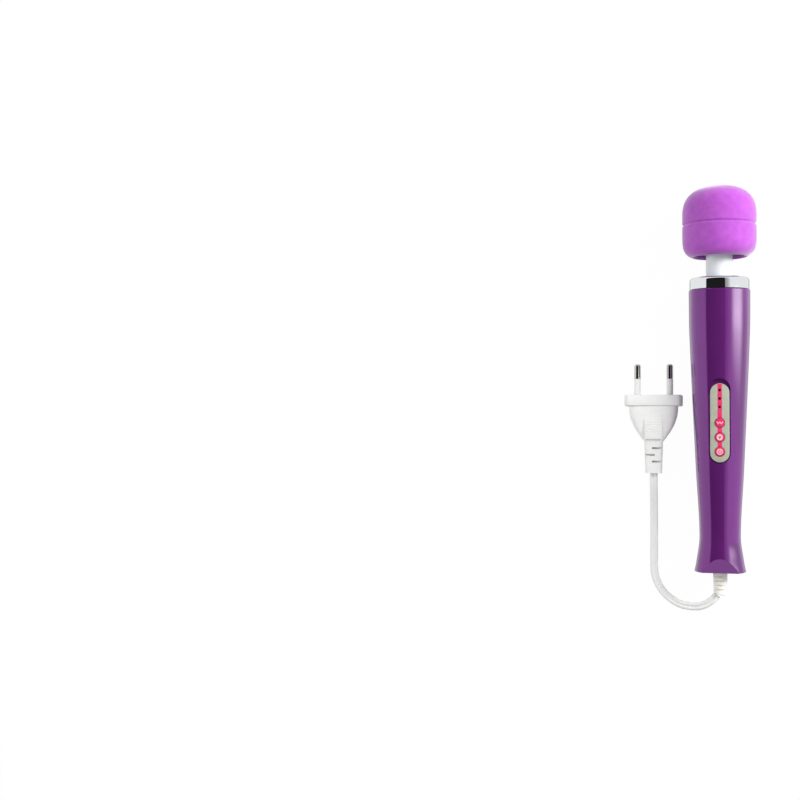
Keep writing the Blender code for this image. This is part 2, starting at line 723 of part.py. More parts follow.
def make_neck():
    bore = NECK_RADIUS + SWING_GAP
    bush_base = HANDLE_LENGTH - BUSH_HEIGHT
    shelf = bush_base + BUSH_SHELF - GAP
    bush_radius = inner_radius(bush_base) - GAP
    outline = [(bush_radius, HANDLE_LENGTH), (bush_radius, bush_base), (BUSH_BORE, bush_base)]
    outline += [(BUSH_BORE, shelf), (bore, shelf), (bore, HANDLE_LENGTH)]
    turned_part("neck_bush", outline, "black_rubber", WAND)

    base = HANDLE_LENGTH + GAP
    rounding = [
        (
            COLLAR_RADIUS - COLLAR_ROUNDING * (1 - math.cos(a)),
            COLLAR_TOP - COLLAR_ROUNDING * (1 - math.sin(a)),
        )
        for a in (math.radians(75), math.radians(50), math.radians(25), 0)
    ]
    inner = COLLAR_RADIUS - COLLAR_WALL
    ceiling = COLLAR_TOP - COLLAR_WALL
    outline = [(bore, COLLAR_TOP)] + rounding + [(COLLAR_RADIUS, base), (inner, base)]
    outline += [(inner, ceiling - COLLAR_ROUNDING / 2), (inner - COLLAR_ROUNDING / 2, ceiling)]
    outline += [(bore, ceiling)]
    turned_part("chrome_collar", outline, "chrome", WAND)

    sleeve = tube_outline(NECK_RADIUS, NECK_RADIUS - NECK_WALL, NECK_BASE, NECK_TOP)
    turned_part("neck_sleeve", sleeve, "white_gloss", WAND)

    low = NOD_HEIGHT + SPRING_END_GAP + SPRING_WIRE
    high = SWAY_PIVOT - SPRING_END_GAP - SPRING_WIRE
    steps = SPRING_TURNS * 9
    points = []
    for i in range(steps + 1):
        angle = math.tau * SPRING_TURNS * i / steps
        height = low + (high - low) * i / steps
        points.append((SPRING_RADIUS * math.cos(angle), SPRING_RADIUS * math.sin(angle), height))
    wire("drive_spring", points, SPRING_WIRE, "steel", WAND)


# ---------------------------------------------------------------- head

def make_head():
    lip = RECESS_RADIUS
    cavity = HEAD_RADIUS - COVER_WALL
    step = HEAD_BASE + LIP_HEIGHT
    roof = CARRIER_TOP + 2 * GAP
    outline = head_outline()
    outline += [(lip, HEAD_BASE + 0.0014), (lip, step), (cavity, step), (cavity, roof), (0, roof)]
    turned_part("head_cover", outline, "orchid_soft", WAND, False)

    bore = NECK_RADIUS + SWING_GAP
    flange = tube_outline(CARRIER_RADIUS, bore, FLANGE_BASE, FLANGE_BASE + FLANGE_HEIGHT)
    turned_part("head_flange", flange, "grey_plastic", WAND)

    seat = BEARING_RADIUS + GAP
    shaft_hole = ECCENTRIC_SHAFT_RADIUS + 3 * GAP
    outline = [(CARRIER_RADIUS, CARRIER_TOP), (CARRIER_RADIUS, CARRIER_BASE)]
    outline += [(bore, CARRIER_BASE), (bore, SOCKET_TOP), (shaft_hole, SOCKET_TOP)]
    outline += [(shaft_hole, SEAT_BASE), (seat, SEAT_BASE), (seat, SEAT_TOP)]
    outline += [(CHAMBER_RADIUS, SEAT_TOP), (CHAMBER_RADIUS, CARRIER_TOP)]
    turned_part("head_carrier", outline, "grey_plastic", WAND)

    cap_radius = CHAMBER_RADIUS - GAP
    cap_roof = CAP_BASE + GAP + BEARING_HEIGHT + GAP
    outline = [(0, CARRIER_TOP), (cap_radius, CARRIER_TOP), (cap_radius, CAP_BASE)]
    outline += [(seat, CAP_BASE), (seat, cap_roof), (0, cap_roof)]
    turned_part("carrier_cap", outline, "grey_plastic", WAND, False)

    for name, start in (("lower", SEAT_BASE + GAP), ("upper", CAP_BASE + GAP)):
        inner = ECCENTRIC_SHAFT_RADIUS + GAP
        ring = tube_outline(BEARING_RADIUS, inner, start, start + BEARING_HEIGHT)
        turned_part(f"bearing_{name}", ring, "steel", WAND, True, 24)

    shaft_top = CAP_BASE + BEARING_HEIGHT
    shaft = rod_mesh("shaft", ECCENTRIC_SHAFT_RADIUS, SWAY_PIVOT + SPRING_END_GAP, shaft_top)
    part("eccentric_shaft", shaft, "steel", WAND)

    low = SEAT_TOP + 4 * GAP
    high = low + WEIGHT_HEIGHT
    weight = part("eccentric_weight", rod_mesh("weight", WEIGHT_RADIUS, low, high, 2, ROUND),
                  "steel", WAND)
    reach = WEIGHT_RADIUS + SWING_GAP
    front = box_mesh("front", (-reach, -reach, low - GAP), (reach, 0, high + GAP))
    combine(weight, cutter("weight_front", front, WAND), "DIFFERENCE")
    hub = rod_mesh("hub", WEIGHT_HUB_RADIUS, low, high)
    combine(weight, cutter("weight_hub", hub, WAND), "UNION")
    hole = rod_mesh("hole", ECCENTRIC_SHAFT_RADIUS + GAP, low - GAP, high + GAP)
    combine(weight, cutter("weight_hole", hole, WAND), "DIFFERENCE")


# ---------------------------------------------------------------- supply

def make_supply():
    start = POWER_BOARD_START
    end = start + POWER_BOARD_LENGTH
    half = POWER_BOARD_WIDTH / 2
    depth = POWER_BOARD_DEPTH
    board = box_mesh("power_board", (-half, depth, start), (half, depth + BOARD_THICKNESS, end))
    part("power_board", board, "board_green", WAND)
    centre = depth - GAP - CAPACITOR_RADIUS
    top = end - 0.002
    capacitor = rod_mesh("capacitor", CAPACITOR_RADIUS, top - CAPACITOR_LENGTH, top, 2,
                         SMALL_ROUND, (0, centre, 0))
    part("smoothing_capacitor", capacitor, "black_plastic", WAND)
    width, thick, length = RECTIFIER_SIZE
    low = (-width / 2, depth - GAP - thick, start + 0.003)
    high = (width / 2, depth - GAP, start + 0.003 + length)
    part("bridge_rectifier", box_mesh("rectifier", low, high), "black_plastic", WAND)

    flange_top = BASE_WALL + GAP + RELIEF_FLANGE_HEIGHT
    beside = BOSS_RADIUS + WIRE_RADIUS + 4 * GAP
    behind = depth + BOARD_THICKNESS / 2
    for side, name, look in ((-1, "live", "wire_brown"), (1, "neutral", "wire_blue")):
        route = (
            (side * 0.0012, 0, flange_top + GAP),
            (side * 0.0016, 0, flange_top + 0.0022),
            (side * beside, behind / 2, SCREW_HEIGHTS[0] - BOSS_RADIUS),
            (side * beside, behind, SCREW_HEIGHTS[0] + BOSS_RADIUS),
            (side * beside, behind, start - GAP),
        )
        wire(f"mains_wire_{name}", smooth_path(route, 0.0025), WIRE_RADIUS, look, WAND)
    for side, name, look in ((-1, "minus", "wire_blue"), (1, "plus", "wire_red")):
        route = (
            (side * beside, behind, end + GAP),
            (side * (beside + 0.001), behind + 0.002, end + 0.010),
            (side * (beside + 0.001), behind + 0.002, PANEL_HEIGHT),
            (side * beside, behind, MOTOR_BASE - 0.010),
            (side * beside, behind, MOTOR_BASE - GAP),
        )
        wire(f"motor_wire_{name}", smooth_path(route, 0.007), WIRE_RADIUS, look, WAND)


def make_strain_relief():
    """Inner flange, waist in the base wall, and ribs that taper and bend aside."""
    flange_base = BASE_WALL + GAP
    flange_top = flange_base + RELIEF_FLANGE_HEIGHT
    outline = [(0, flange_top), (RELIEF_FLANGE_RADIUS, flange_top)]
    outline += [(RELIEF_FLANGE_RADIUS, flange_base), (RELIEF_NECK_RADIUS, flange_base)]
    outline += [(RELIEF_NECK_RADIUS, -GAP)]
    pitch = (RELIEF_LENGTH - GAP) / RELIEF_RIBS
    for rib in range(RELIEF_RIBS):
        top = -GAP - rib * pitch
        radius = RELIEF_RADIUS - 0.00018 * rib
        outline += [(radius, top), (radius, top - 0.62 * pitch)]
        if rib < RELIEF_RIBS - 1:
            outline += [(radius - RIB_GROOVE, top - 0.68 * pitch)]
            outline += [(radius - RIB_GROOVE, top - 0.94 * pitch)]
    outline += [(radius * 0.9, -RELIEF_LENGTH), (0, -RELIEF_LENGTH)]
    straight = turned(
        cutter("relief_straight", outline_mesh("relief", outline, False), WAND), SMALL_ROUND
    )
    bpy.context.view_layer.update()
    graph = bpy.context.evaluated_depsgraph_get()
    mesh = bpy.data.meshes.new_from_object(straight.evaluated_get(graph))
    bpy.data.objects.remove(straight, do_unlink=True)
    for vert in mesh.vertices:
        vert.co = relief_point(vert.co)
    part("cord_strain_relief", mesh, "white_pvc", WAND)


def make_cord():
    path = [Vector(point) + BASE_END for point in smooth_path(CORD_ROUTE, CORD_STEP)]
    wire("mains_cord", path, CORD_DIAMETER / 2, "white_pvc", None, 3)


# ---------------------------------------------------------------- plug

def flat_solid(name, outline, thickness):
    """A plate with the given outline in its XY plane, centred on z = 0."""
    shape = bmesh.new()
    verts = [shape.verts.new((x, y, -thickness / 2)) for x, y in outline]
    face = shape.faces.new(verts)
    made = bmesh.ops.extrude_face_region(shape, geom=[face])
    moved = [g for g in made["geom"] if isinstance(g, bmesh.types.BMVert)]
    bmesh.ops.translate(shape, vec=(0, 0, thickness), verts=moved)
    bmesh.ops.recalc_face_normals(shape, faces=shape.faces)
    return shape


def make_plug():
    half_plate = PLATE_WIDTH / 2
    thick = PLUG_THICKNESS / 2
    plate = box_mesh("plug_moulding", (-half_plate, -PLATE_LENGTH, -thick),
                     (half_plate, 0, thick), 0.003, 1)
    moulding = part("plug_moulding", plate, "white_pvc", PLUG)

    neck = -PLATE_LENGTH - BODY_LENGTH
    tail = neck - TAIL_LENGTH
    top_half = BODY_TOP_WIDTH / 2
    end_half = BODY_END_WIDTH / 2
    right = [(top_half, -PLATE_LENGTH + 0.001)]
    for i in range(1, 8):
        share = i / 8
        bell = math.cos(math.pi / 2 * share ** 1.25)
        right.append((end_half + (top_half - end_half) * bell, -PLATE_LENGTH - BODY_LENGTH * share))
    right += [(end_half, neck), (end_half, neck - 0.001)]
    left = [(-x, y) for x, y in reversed(right)]
    body = flat_solid("plug_body", right + left, BODY_THICKNESS)
    body = cutter("plug_body", mesh_of("plug_body", body), PLUG)
    bevel = body.modifiers.new("round", "BEVEL")
    bevel.width = 0.0020
    bevel.segments = 2
    bevel.limit_method = "ANGLE"
    bevel.angle_limit = math.radians(60)
    combine(moulding, body, "UNION")

    tail_half = TAIL_END_WIDTH / 2
    outline = [(end_half - 0.0003, neck + 0.002), (tail_half, tail)]
    outline += [(-tail_half, tail), (-end_half + 0.0003, neck + 0.002)]
    tail_piece = flat_solid("plug_tail", outline, BODY_END_WIDTH * 0.84)
    tail_piece = cutter("plug_tail", mesh_of("plug_tail", tail_piece), PLUG)
    round_tail = tail_piece.modifiers.new("round", "BEVEL")
    round_tail.width = 0.0026
    round_tail.segments = 3
    round_tail.limit_method = "ANGLE"
    round_tail.angle_limit = math.radians(60)
    combine(moulding, tail_piece, "UNION")
    pitch = TAIL_LENGTH / (TAIL_SLOTS + 1.4)
    for slot in range(TAIL_SLOTS):
        side = 1 if slot % 2 == 0 else -1
        at = neck - pitch * (slot + 0.9)
        corners = sorted((-side * 0.0012, side * 0.010))
        cut = box_mesh("slot", (corners[0], at - 0.0008, -0.01), (corners[1], at + 0.0008, 0.01))
        combine(moulding, cutter(f"tail_slot_{slot + 1}", cut, PLUG), "DIFFERENCE")

    for side, name in ((-1, "left"), (1, "right")):
        place = (side * PIN_PITCH / 2, 0, 0)
        bore = rod_mesh("pin_bore", PIN_CORE_RADIUS + GAP, -PIN_BURIED - GAP, GAP, 1, FINE_ROUND,
                        place)
        combine(moulding, cutter(f"pin_bore_{name}", bore, PLUG), "DIFFERENCE")
        outline = [(0, PIN_LENGTH), (PIN_RADIUS * 0.55, PIN_LENGTH - 0.0002)]
        outline += [(PIN_RADIUS, PIN_LENGTH - 0.0016), (PIN_RADIUS, PIN_SLEEVE)]
        outline += [(PIN_CORE_RADIUS, PIN_SLEEVE), (PIN_CORE_RADIUS, -PIN_BURIED)]
        outline += [(0, -PIN_BURIED)]
        pin = turned_part(f"plug_pin_{name}", outline, "chrome", PLUG, False, SMALL_ROUND)
        pin.location = place
        pin.rotation_euler = (-math.pi / 2, 0, 0)
        sleeve = tube_outline(PIN_RADIUS - 0.0001, PIN_CORE_RADIUS + GAP, GAP, PIN_SLEEVE - GAP)
        sleeve = turned_part(f"pin_sleeve_{name}", sleeve, "white_pvc", PLUG, True, SMALL_ROUND)
        sleeve.location = place
        sleeve.rotation_euler = (-math.pi / 2, 0, 0)


# ---------------------------------------------------------------- assembly

clear_scene()
PARTS = new_collection("wand_massager")
CUTTERS = new_collection("cutters")
TILT = resting_tilt()
RELIEF_REACH = -relief_point((0, 0, -RELIEF_LENGTH))[2]
MIDDLE = (HEAD_BASE + HEAD_LENGTH - RELIEF_REACH) / 2 * math.cos(TILT)
AXIS_LIFT = BASE_RADIUS * math.cos(TILT) - EDGE * math.sin(TILT)
BASE_END = Vector((0, -MIDDLE, 0))
WAND = empty("wand_frame", (0, -MIDDLE, AXIS_LIFT), (TILT - math.pi / 2, 0, 0))
PANEL_SLOPE = math.atan(
    (
        outer_radius(PANEL_HEIGHT + PANEL_LENGTH / 2)
        - outer_radius(PANEL_HEIGHT - PANEL_LENGTH / 2)
    )
    / PANEL_LENGTH
)
PANEL = empty(
    "panel_frame", (0, -outer_radius(PANEL_HEIGHT), PANEL_HEIGHT), (PANEL_SLOPE, 0, 0), WAND
)
PLUG = empty("plug_frame", PLUG_PLACE + BASE_END)

make_shells()
make_case_screws()
make_panel()
make_motor()
make_neck()
make_head()
make_supply()
make_strain_relief()
make_cord()
make_plug()
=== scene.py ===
"""Looks of the wand massager: finishes, finer shells, soft head, keypad signs, cord and plug."""

import json
import math

import bmesh
import bpy
from mathutils import Matrix, Vector


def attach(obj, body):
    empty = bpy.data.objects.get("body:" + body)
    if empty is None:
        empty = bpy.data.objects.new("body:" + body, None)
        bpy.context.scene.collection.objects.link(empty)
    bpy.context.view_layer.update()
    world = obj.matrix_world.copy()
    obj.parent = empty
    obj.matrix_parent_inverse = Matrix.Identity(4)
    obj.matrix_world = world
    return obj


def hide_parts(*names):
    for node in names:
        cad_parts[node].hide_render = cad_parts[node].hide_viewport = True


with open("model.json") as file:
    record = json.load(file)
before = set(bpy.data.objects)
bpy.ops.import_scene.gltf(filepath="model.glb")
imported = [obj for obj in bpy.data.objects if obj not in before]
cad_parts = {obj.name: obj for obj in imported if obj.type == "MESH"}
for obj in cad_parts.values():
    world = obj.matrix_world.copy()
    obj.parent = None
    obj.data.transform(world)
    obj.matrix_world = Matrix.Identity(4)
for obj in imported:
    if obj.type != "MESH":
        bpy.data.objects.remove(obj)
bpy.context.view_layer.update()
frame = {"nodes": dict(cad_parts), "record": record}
record = frame["record"]

# ---------------------------------------------------------------- sizes, in metres

MM = 0.001
GAP = 0.3 * MM
PARTING = 0.12 * MM
ROUND = 96
SMALL_ROUND = 40

# Handle, as in the solid model
HANDLE_LENGTH = 166 * MM
WALL = 2 * MM
BASE_RADIUS = 14.8 * MM
TOP_RADIUS = 17.75 * MM
STATIONS = (
    (0.0, BASE_RADIUS),
    (0.0065, 0.0136),
    (0.0207, 0.01185),
    (0.060, 0.01385),
    (0.140, 0.0174),
    (0.166, TOP_RADIUS),
)
WAIST = (0.0207, 0.01185 - WALL)
BASE_INNER = 8 * MM
BASE_WALL = 2.5 * MM
FACET_HEIGHT = 8.3 * MM
FACET_FOOT = 10.0 * MM
FACET_TOP = 13.2 * MM
SCREW_HEIGHTS = (0.015, 0.059, 0.115)

# How the wand lies: degrees, the distance from its base to its middle, and its axis's height
RESTING_TILT = 1.9224962
MIDDLE = 107.24186 * MM
LIFT = 14.7748956 * MM

# Panel
PANEL_MIDDLE = 87.6 * MM
PANEL_LENGTH = 46.1 * MM
PANEL_WIDTH = 11 * MM
PANEL_TOP = 1.3 * MM
POCKET_FLOOR = 1.95 * MM
BUTTON_PLACES = {"power": -16.7 * MM, "slower": -8.3 * MM, "pattern": 0.1 * MM}
LIGHT_PLACES = [9.3 * MM, 14.2 * MM, 19.1 * MM]

# Neck and head
COLLAR_BASE = 166.3 * MM
COLLAR_TOP = 173.3 * MM
COLLAR_RADIUS = 17.2 * MM
NECK_RADIUS = 7.7 * MM
HEAD_BASE = 184.3 * MM
HEAD_LENGTH = 43.6 * MM
HEAD_RADIUS = 21.4 * MM
SEAM = HEAD_BASE + 20.4 * MM
RECESS = 14.8 * MM
HEAD_ROOF = 218 * MM

# Keypad holes, with clearance round each key and each light
KEY_HOLE = 3.0 * MM
LIGHT_HOLE = 0.85 * MM

# How far a sign's ink stands over its key
SIGN_DEPTH = 0.07 * MM

# Plug: face plate, bell-shaped grip, tail, and the pins with their sleeves
PLUG_HALF_WIDTH = 17.2 * MM
PLUG_HALF_DEPTH = 6.85 * MM
PLUG_FACE_LENGTH = 6.6 * MM
PLUG_NECK = 28.1 * MM
PLUG_TAIL = 19.1 * MM
PAD_HEIGHT = 5.85 * MM
PIN_PITCH = 19.3 * MM
PIN_LENGTH = 19 * MM
PIN_RADIUS = 1.98 * MM
PIN_CORE_RADIUS = 1.3 * MM
PIN_BURIED = 5 * MM
PIN_BARE_FROM = 10 * MM

CORD_WIDTH = 4.3 * MM

# Light from straight above on matt surfaces, against 1 where the room is seen or mirrored
SKY_LIGHT = 0.74

# The cord's route on its centreline, from the strain relief round to the plug
CORD_ROUTE = (
    (-0.00190, -0.12115, 0.01430),
    (-0.00512, -0.12468, 0.01385),
    (-0.00951, -0.12742, 0.01255),
    (-0.01449, -0.12872, 0.01080),
    (-0.02216, -0.12806, 0.00825),
    (-0.02761, -0.12580, 0.00600),
    (-0.03229, -0.12221, 0.00420),
    (-0.03588, -0.11753, 0.00300),
    (-0.03814, -0.11208, 0.00248),
    (-0.03890, -0.10610, 0.00235),
    (-0.03890, -0.09900, 0.00235),
    (-0.03890, -0.09200, 0.00235),
    (-0.03890, -0.08500, 0.00235),
    (-0.03890, -0.07800, 0.00235),
    (-0.03890, -0.07150, 0.00265),
    (-0.03890, -0.06550, 0.00385),
    (-0.03890, -0.05950, 0.00545),
    (-0.03890, -0.05400, 0.00660),
    (-0.03890, -0.04880, 0.00685),
)
PLUG_PLACE = Vector((-0.0389, -0.0026, 0.00685))


def wand_frame():
    """The wand's own frame: +Z along its axis from the base end, the panel facing -Y."""
    tilt = math.radians(RESTING_TILT)
    across = Vector((1, 0, 0))
    back = Vector((0, math.sin(tilt), -math.cos(tilt)))
    axis = Vector((0, math.cos(tilt), math.sin(tilt)))
    made = Matrix((across, back, axis)).transposed().to_4x4()
    made.translation = Vector((0, -MIDDLE, LIFT))
    return made


def smooth_value(stations, at):
    """Value of the smooth curve through (place, value) stations."""
    last = len(stations) - 1
    i = 0
    while i < last - 1 and at > stations[i + 1][0]:
        i += 1
    (x0, y0), (x1, y1) = stations[i], stations[i + 1]
    before = stations[max(i - 1, 0)]
    after = stations[min(i + 2, last)]
    slope0 = (y1 - before[1]) / (x1 - before[0])
    slope1 = (after[1] - y0) / (after[0] - x0)
    span = x1 - x0
    t = min(max((at - x0) / span, 0), 1)
    return (
        (2 * t**3 - 3 * t**2 + 1) * y0
        + (t**3 - 2 * t**2 + t) * span * slope0
        + (3 * t**2 - 2 * t**3) * y1
        + (t**3 - t**2) * span * slope1
    )


def outer(height):
    return smooth_value(STATIONS, height)


def inner(height):
    if height >= WAIST[0]:
        return outer(height) - WALL
    return BASE_INNER + (WAIST[1] - BASE_INNER) * height / WAIST[0]


WAND = wand_frame()
slope = math.atan(
    (outer(PANEL_MIDDLE + PANEL_LENGTH / 2) - outer(PANEL_MIDDLE - PANEL_LENGTH / 2)) / PANEL_LENGTH
)
PANEL = (
    WAND
    @ Matrix.Translation((0, -outer(PANEL_MIDDLE), PANEL_MIDDLE))
    @ Matrix.Rotation(slope, 4, "X")
)
PLUG = Matrix.Translation(PLUG_PLACE)

# ---------------------------------------------------------------- materials


def linear(code):
    """An sRGB hex colour as the linear values a shader takes."""
    parts = [int(code[i : i + 2], 16) / 255 for i in (0, 2, 4)]
    return [p / 12.92 if p <= 0.04045 else ((p + 0.055) / 1.055) ** 2.4 for p in parts] + [1]


def node(tree, kind, settings=None, links=None):
    """Adds a node; settings name its properties or sockets, links map its sockets to others."""
    made = tree.nodes.new(kind)
    for name, value in (settings or {}).items():
        if isinstance(name, int) or name in made.inputs:
            made.inputs[name].default_value = value
        else:
            setattr(made, name, value)
    for name, socket in (links or {}).items():
        tree.links.new(socket, made.inputs[name])
    return made


def finish(name, colour, other, grain, roughness, metallic=0.0, bump=0.1, pores=0.0, **sockets):
    """A surface whose colour, gloss and relief vary over a grain size in metres."""
    made = bpy.data.materials.new(name)
    made.use_nodes = True
    tree = made.node_tree
    shader = tree.nodes["Principled BSDF"]
    shader.inputs["Metallic"].default_value = metallic
    for socket, value in sockets.items():
        shader.inputs[socket.replace("_", " ")].default_value = value
    place = node(tree, "ShaderNodeTexCoord").outputs["Object"]
    noise = node(
        tree, "ShaderNodeTexNoise", {"Scale": 1 / grain, "Detail": 4.0}, {"Vector": place}
    ).outputs["Fac"]
    broad = node(
        tree, "ShaderNodeTexNoise", {"Scale": 0.12 / grain, "Detail": 2.0}, {"Vector": place}
    ).outputs["Fac"]
    ramp = node(tree, "ShaderNodeValToRGB", {}, {"Fac": broad})
    ramp.color_ramp.elements[0].position = 0.3
    ramp.color_ramp.elements[1].position = 0.7
    ramp.color_ramp.elements[0].color = linear(colour)
    ramp.color_ramp.elements[1].color = linear(other)
    tree.links.new(ramp.outputs["Color"], shader.inputs["Base Color"])
    gloss = node(
        tree,
        "ShaderNodeMapRange",
        {"To Min": roughness * 0.9, "To Max": roughness * 1.1},
        {"Value": noise},
    )
    tree.links.new(gloss.outputs["Result"], shader.inputs["Roughness"])
    height = noise
    if pores:
        cells = node(
            tree, "ShaderNodeTexVoronoi", {"Scale": 1 / pores}, {"Vector": place}
        ).outputs["Distance"]
        height = node(
            tree, "ShaderNodeMath", {"operation": "ADD"}, {0: noise, 1: cells}
        ).outputs[0]
    relief = node(
        tree, "ShaderNodeBump", {"Strength": bump, "Distance": grain * 0.2}, {"Height": height}
    )
    tree.links.new(relief.outputs["Normal"], shader.inputs["Normal"])
    return made


# Moulded ABS under a pearl lacquer: reflections take its purple, under a clear glossy coat
pearl_lacquer = finish(
    "pearl_lacquer_on_abs", "732a82", "70287f", 2 * MM, 0.17, 0.52, 0.003,
    Coat_Weight=0.85, Coat_Roughness=0.05, Specular_IOR_Level=0.1,
)
# Soft silicone foam skin: matt, with fine pores and a faint mottling
soft_silicone = finish(
    "soft_silicone_skin", "ac4dbd", "a044b1", 0.5 * MM, 0.55, 0.0, 0.7, 0.8 * MM,
    Sheen_Weight=0.7, Sheen_Roughness=0.4, Subsurface_Weight=0.1, Subsurface_Scale=0.003,
)
# Chromium plate on ABS: a near mirror, a breath of haze
chrome_plate = finish("chromium_plate", "e4e6e8", "dfe2e5", 3 * MM, 0.05, 1.0, 0.004)
# Nickel plated brass pins, drawn and slightly warm
nickel_plate = finish("nickel_plated_brass", "c9c8c4", "bdbcb8", 0.6 * MM, 0.16, 1.0, 0.03)
# Polished polycarbonate sleeve
neck_gloss = finish("polished_white_polycarbonate", "dfe3e6", "dbe0e4", 2 * MM, 0.12, 0, 0.004)
# Injection moulded PVC: satin with a fine spark-eroded grain
plug_pvc = finish("moulded_white_pvc", "ededec", "e9e9e8", 0.35 * MM, 0.42, 0, 0.05)
# Extruded PVC sheath: smoother than the moulding
cord_pvc = finish("extruded_white_pvc", "ededec", "eaeae9", 0.8 * MM, 0.36, 0, 0.015)
# Cream TPE of the strain relief
relief_tpe = finish("cream_tpe", "efeee6", "ebeae1", 0.6 * MM, 0.5, 0, 0.03)
# Moulded glass-filled nylon, grey, inside the head
nylon = finish("grey_nylon", "a3a0a8", "9a97a0", 0.4 * MM, 0.5, 0, 0.12)
# Screen-printed polyester film, warm silver
film = finish("printed_film_silver", "b0b3a2", "a9ac9b", 0.3 * MM, 0.38, 0.1, 0.05)
# Screen-printed pink ink on the film and the keys
ink_pink = finish("printed_ink_pink", "e02e6b", "d82864", 0.3 * MM, 0.36, 0, 0.04)
# Screen-printed pale ink of the keys' signs
ink_pale = finish("printed_ink_pale", "d9c9c4", "cfc0ba", 0.3 * MM, 0.40, 0, 0.04)
# Injection moulded keys of pigmented ABS, lightly polished
key_pink = finish("moulded_pink_key", "e12a68", "da2562", 0.4 * MM, 0.28, 0, 0.05)
# Smoked acrylic lenses, dark while the lights are off
smoked_acrylic = finish("smoked_acrylic", "0d1614", "101a18", 1 * MM, 0.08, 0, 0.003)
# Zinc plated steel: rolled screws and turned parts
zinc = finish("zinc_plated_steel", "b9bbbd", "a9abae", 0.3 * MM, 0.30, 1.0, 0.08)
# Enamelled copper wire, machine wound
winding = finish("enamelled_copper_winding", "b5713f", "9a5a30", 0.3 * MM, 0.32, 1.0, 0.30)
# Injection moulded black ABS, lightly grained
black_abs = finish("black_abs", "151516", "1b1b1d", 0.4 * MM, 0.45, 0, 0.08)
# Compression moulded nitrile rubber
rubber = finish("black_nitrile_rubber", "101010", "171717", 0.5 * MM, 0.75, 0, 0.15)
# Glass-fibre circuit board under printed solder mask
solder_mask = finish("green_solder_mask", "1f6b3a", "185a30", 0.6 * MM, 0.35, 0, 0.05)
# Extruded PVC insulation of the inner wires
wire_red = finish("red_wire_pvc", "a8201c", "961a18", 0.4 * MM, 0.4, 0, 0.05)
wire_blue = finish("blue_wire_pvc", "2a4aa0", "23408e", 0.4 * MM, 0.4, 0, 0.05)
wire_brown = finish("brown_wire_pvc", "6b4329", "5c3820", 0.4 * MM, 0.4, 0, 0.05)

SLOT_FINISHES = {
    "handle_purple": pearl_lacquer,
    "head_orchid": soft_silicone,
    "chrome_ring": chrome_plate,
    "neck_white": neck_gloss,
    "cord_white": cord_pvc,
    "plug_white": plug_pvc,
    "panel_grey": film,
    "button_pink": key_pink,
    "dark_lens": smoked_acrylic,
    "inner_grey": nylon,
    "black_plastic": black_abs,
    "steel": zinc,
    "pin_metal": nickel_plate,
    "copper": winding,
    "black_rubber": rubber,
    "board_green": solder_mask,
    "wire_red": wire_red,
    "wire_blue": wire_blue,
    "wire_brown": wire_brown,
}


def dress_cad_nodes():
    for row in record["subparts"]:
        piece = frame["nodes"][row["node"]]
        piece.data.materials.clear()
        piece.data.materials.append(SLOT_FINISHES[row["material_slot"]])


# ---------------------------------------------------------------- shapes


def to_object(name, shape, material, place=None, sharp=35):
    """Makes the shape an object in its world place, smooth but for edges past the sharp angle."""
    if place is not None:
        bmesh.ops.transform(shape, matrix=place, verts=shape.verts)
    mesh = bpy.data.meshes.new(name)
    shape.to_mesh(mesh)
    shape.free()
    mesh.materials.append(material)
    mesh.shade_smooth()
    mesh.set_sharp_from_angle(angle=math.radians(sharp))
    made = bpy.data.objects.new(name, mesh)
    bpy.context.scene.collection.objects.link(made)
    return made


def lathe(outline, ring=True, sides=ROUND):
    """(radius, height) points turned about Z."""
    shape = bmesh.new()
    verts = [shape.verts.new((r, 0, h)) for r, h in outline]
    edges = [shape.edges.new(pair) for pair in zip(verts, verts[1:])]
    if ring:
        edges.append(shape.edges.new((verts[-1], verts[0])))
    bmesh.ops.spin(
        shape, geom=verts + edges, cent=(0, 0, 0), axis=(0, 0, 1), dvec=(0, 0, 0),
        angle=math.tau, steps=sides, use_merge=True, use_duplicate=False,
    )
    bmesh.ops.remove_doubles(shape, verts=shape.verts, dist=1e-6)
    bmesh.ops.recalc_face_normals(shape, faces=shape.faces)
    return shape


def box(low, high, rounding=0.0, along=None, segments=8):
    """A block between two corners; rounding takes all edges, or only those along one axis."""
    low, high = Vector(low), Vector(high)
    shape = bmesh.new()
    bmesh.ops.create_cube(shape, size=1)
    bmesh.ops.scale(shape, vec=high - low, verts=shape.verts)
    bmesh.ops.translate(shape, vec=(low + high) / 2, verts=shape.verts)
    if rounding:
        edges = [e for e in shape.edges if along is None or is_along(e, along)]
        bevel(shape, edges, rounding, segments)
    return shape


def is_along(edge, axis):
    way = edge.verts[0].co - edge.verts[1].co
    return abs(way[axis]) > 0.99 * way.length


def bevel(shape, edges, offset, segments=3):
    bmesh.ops.bevel(
        shape, geom=edges, offset=offset, segments=segments, profile=0.5, affect="EDGES",
        material=-1, clamp_overlap=True,
    )


def rod(radius, start, end, axis=2, sides=SMALL_ROUND, at=(0, 0, 0)):
    """A cylinder along one axis from start to end, moved by at."""
    shape = bmesh.new()
    bmesh.ops.create_cone(
        shape, cap_ends=True, segments=sides, radius1=radius, radius2=radius, depth=end - start
    )
    bmesh.ops.translate(shape, vec=(0, 0, (start + end) / 2), verts=shape.verts)
    turn = (
        Matrix.Rotation(math.pi / 2, 4, "Y"),
        Matrix.Rotation(-math.pi / 2, 4, "X"),
        Matrix.Identity(4),
    )[axis]
    bmesh.ops.transform(shape, matrix=Matrix.Translation(at) @ turn, verts=shape.verts)
    return shape


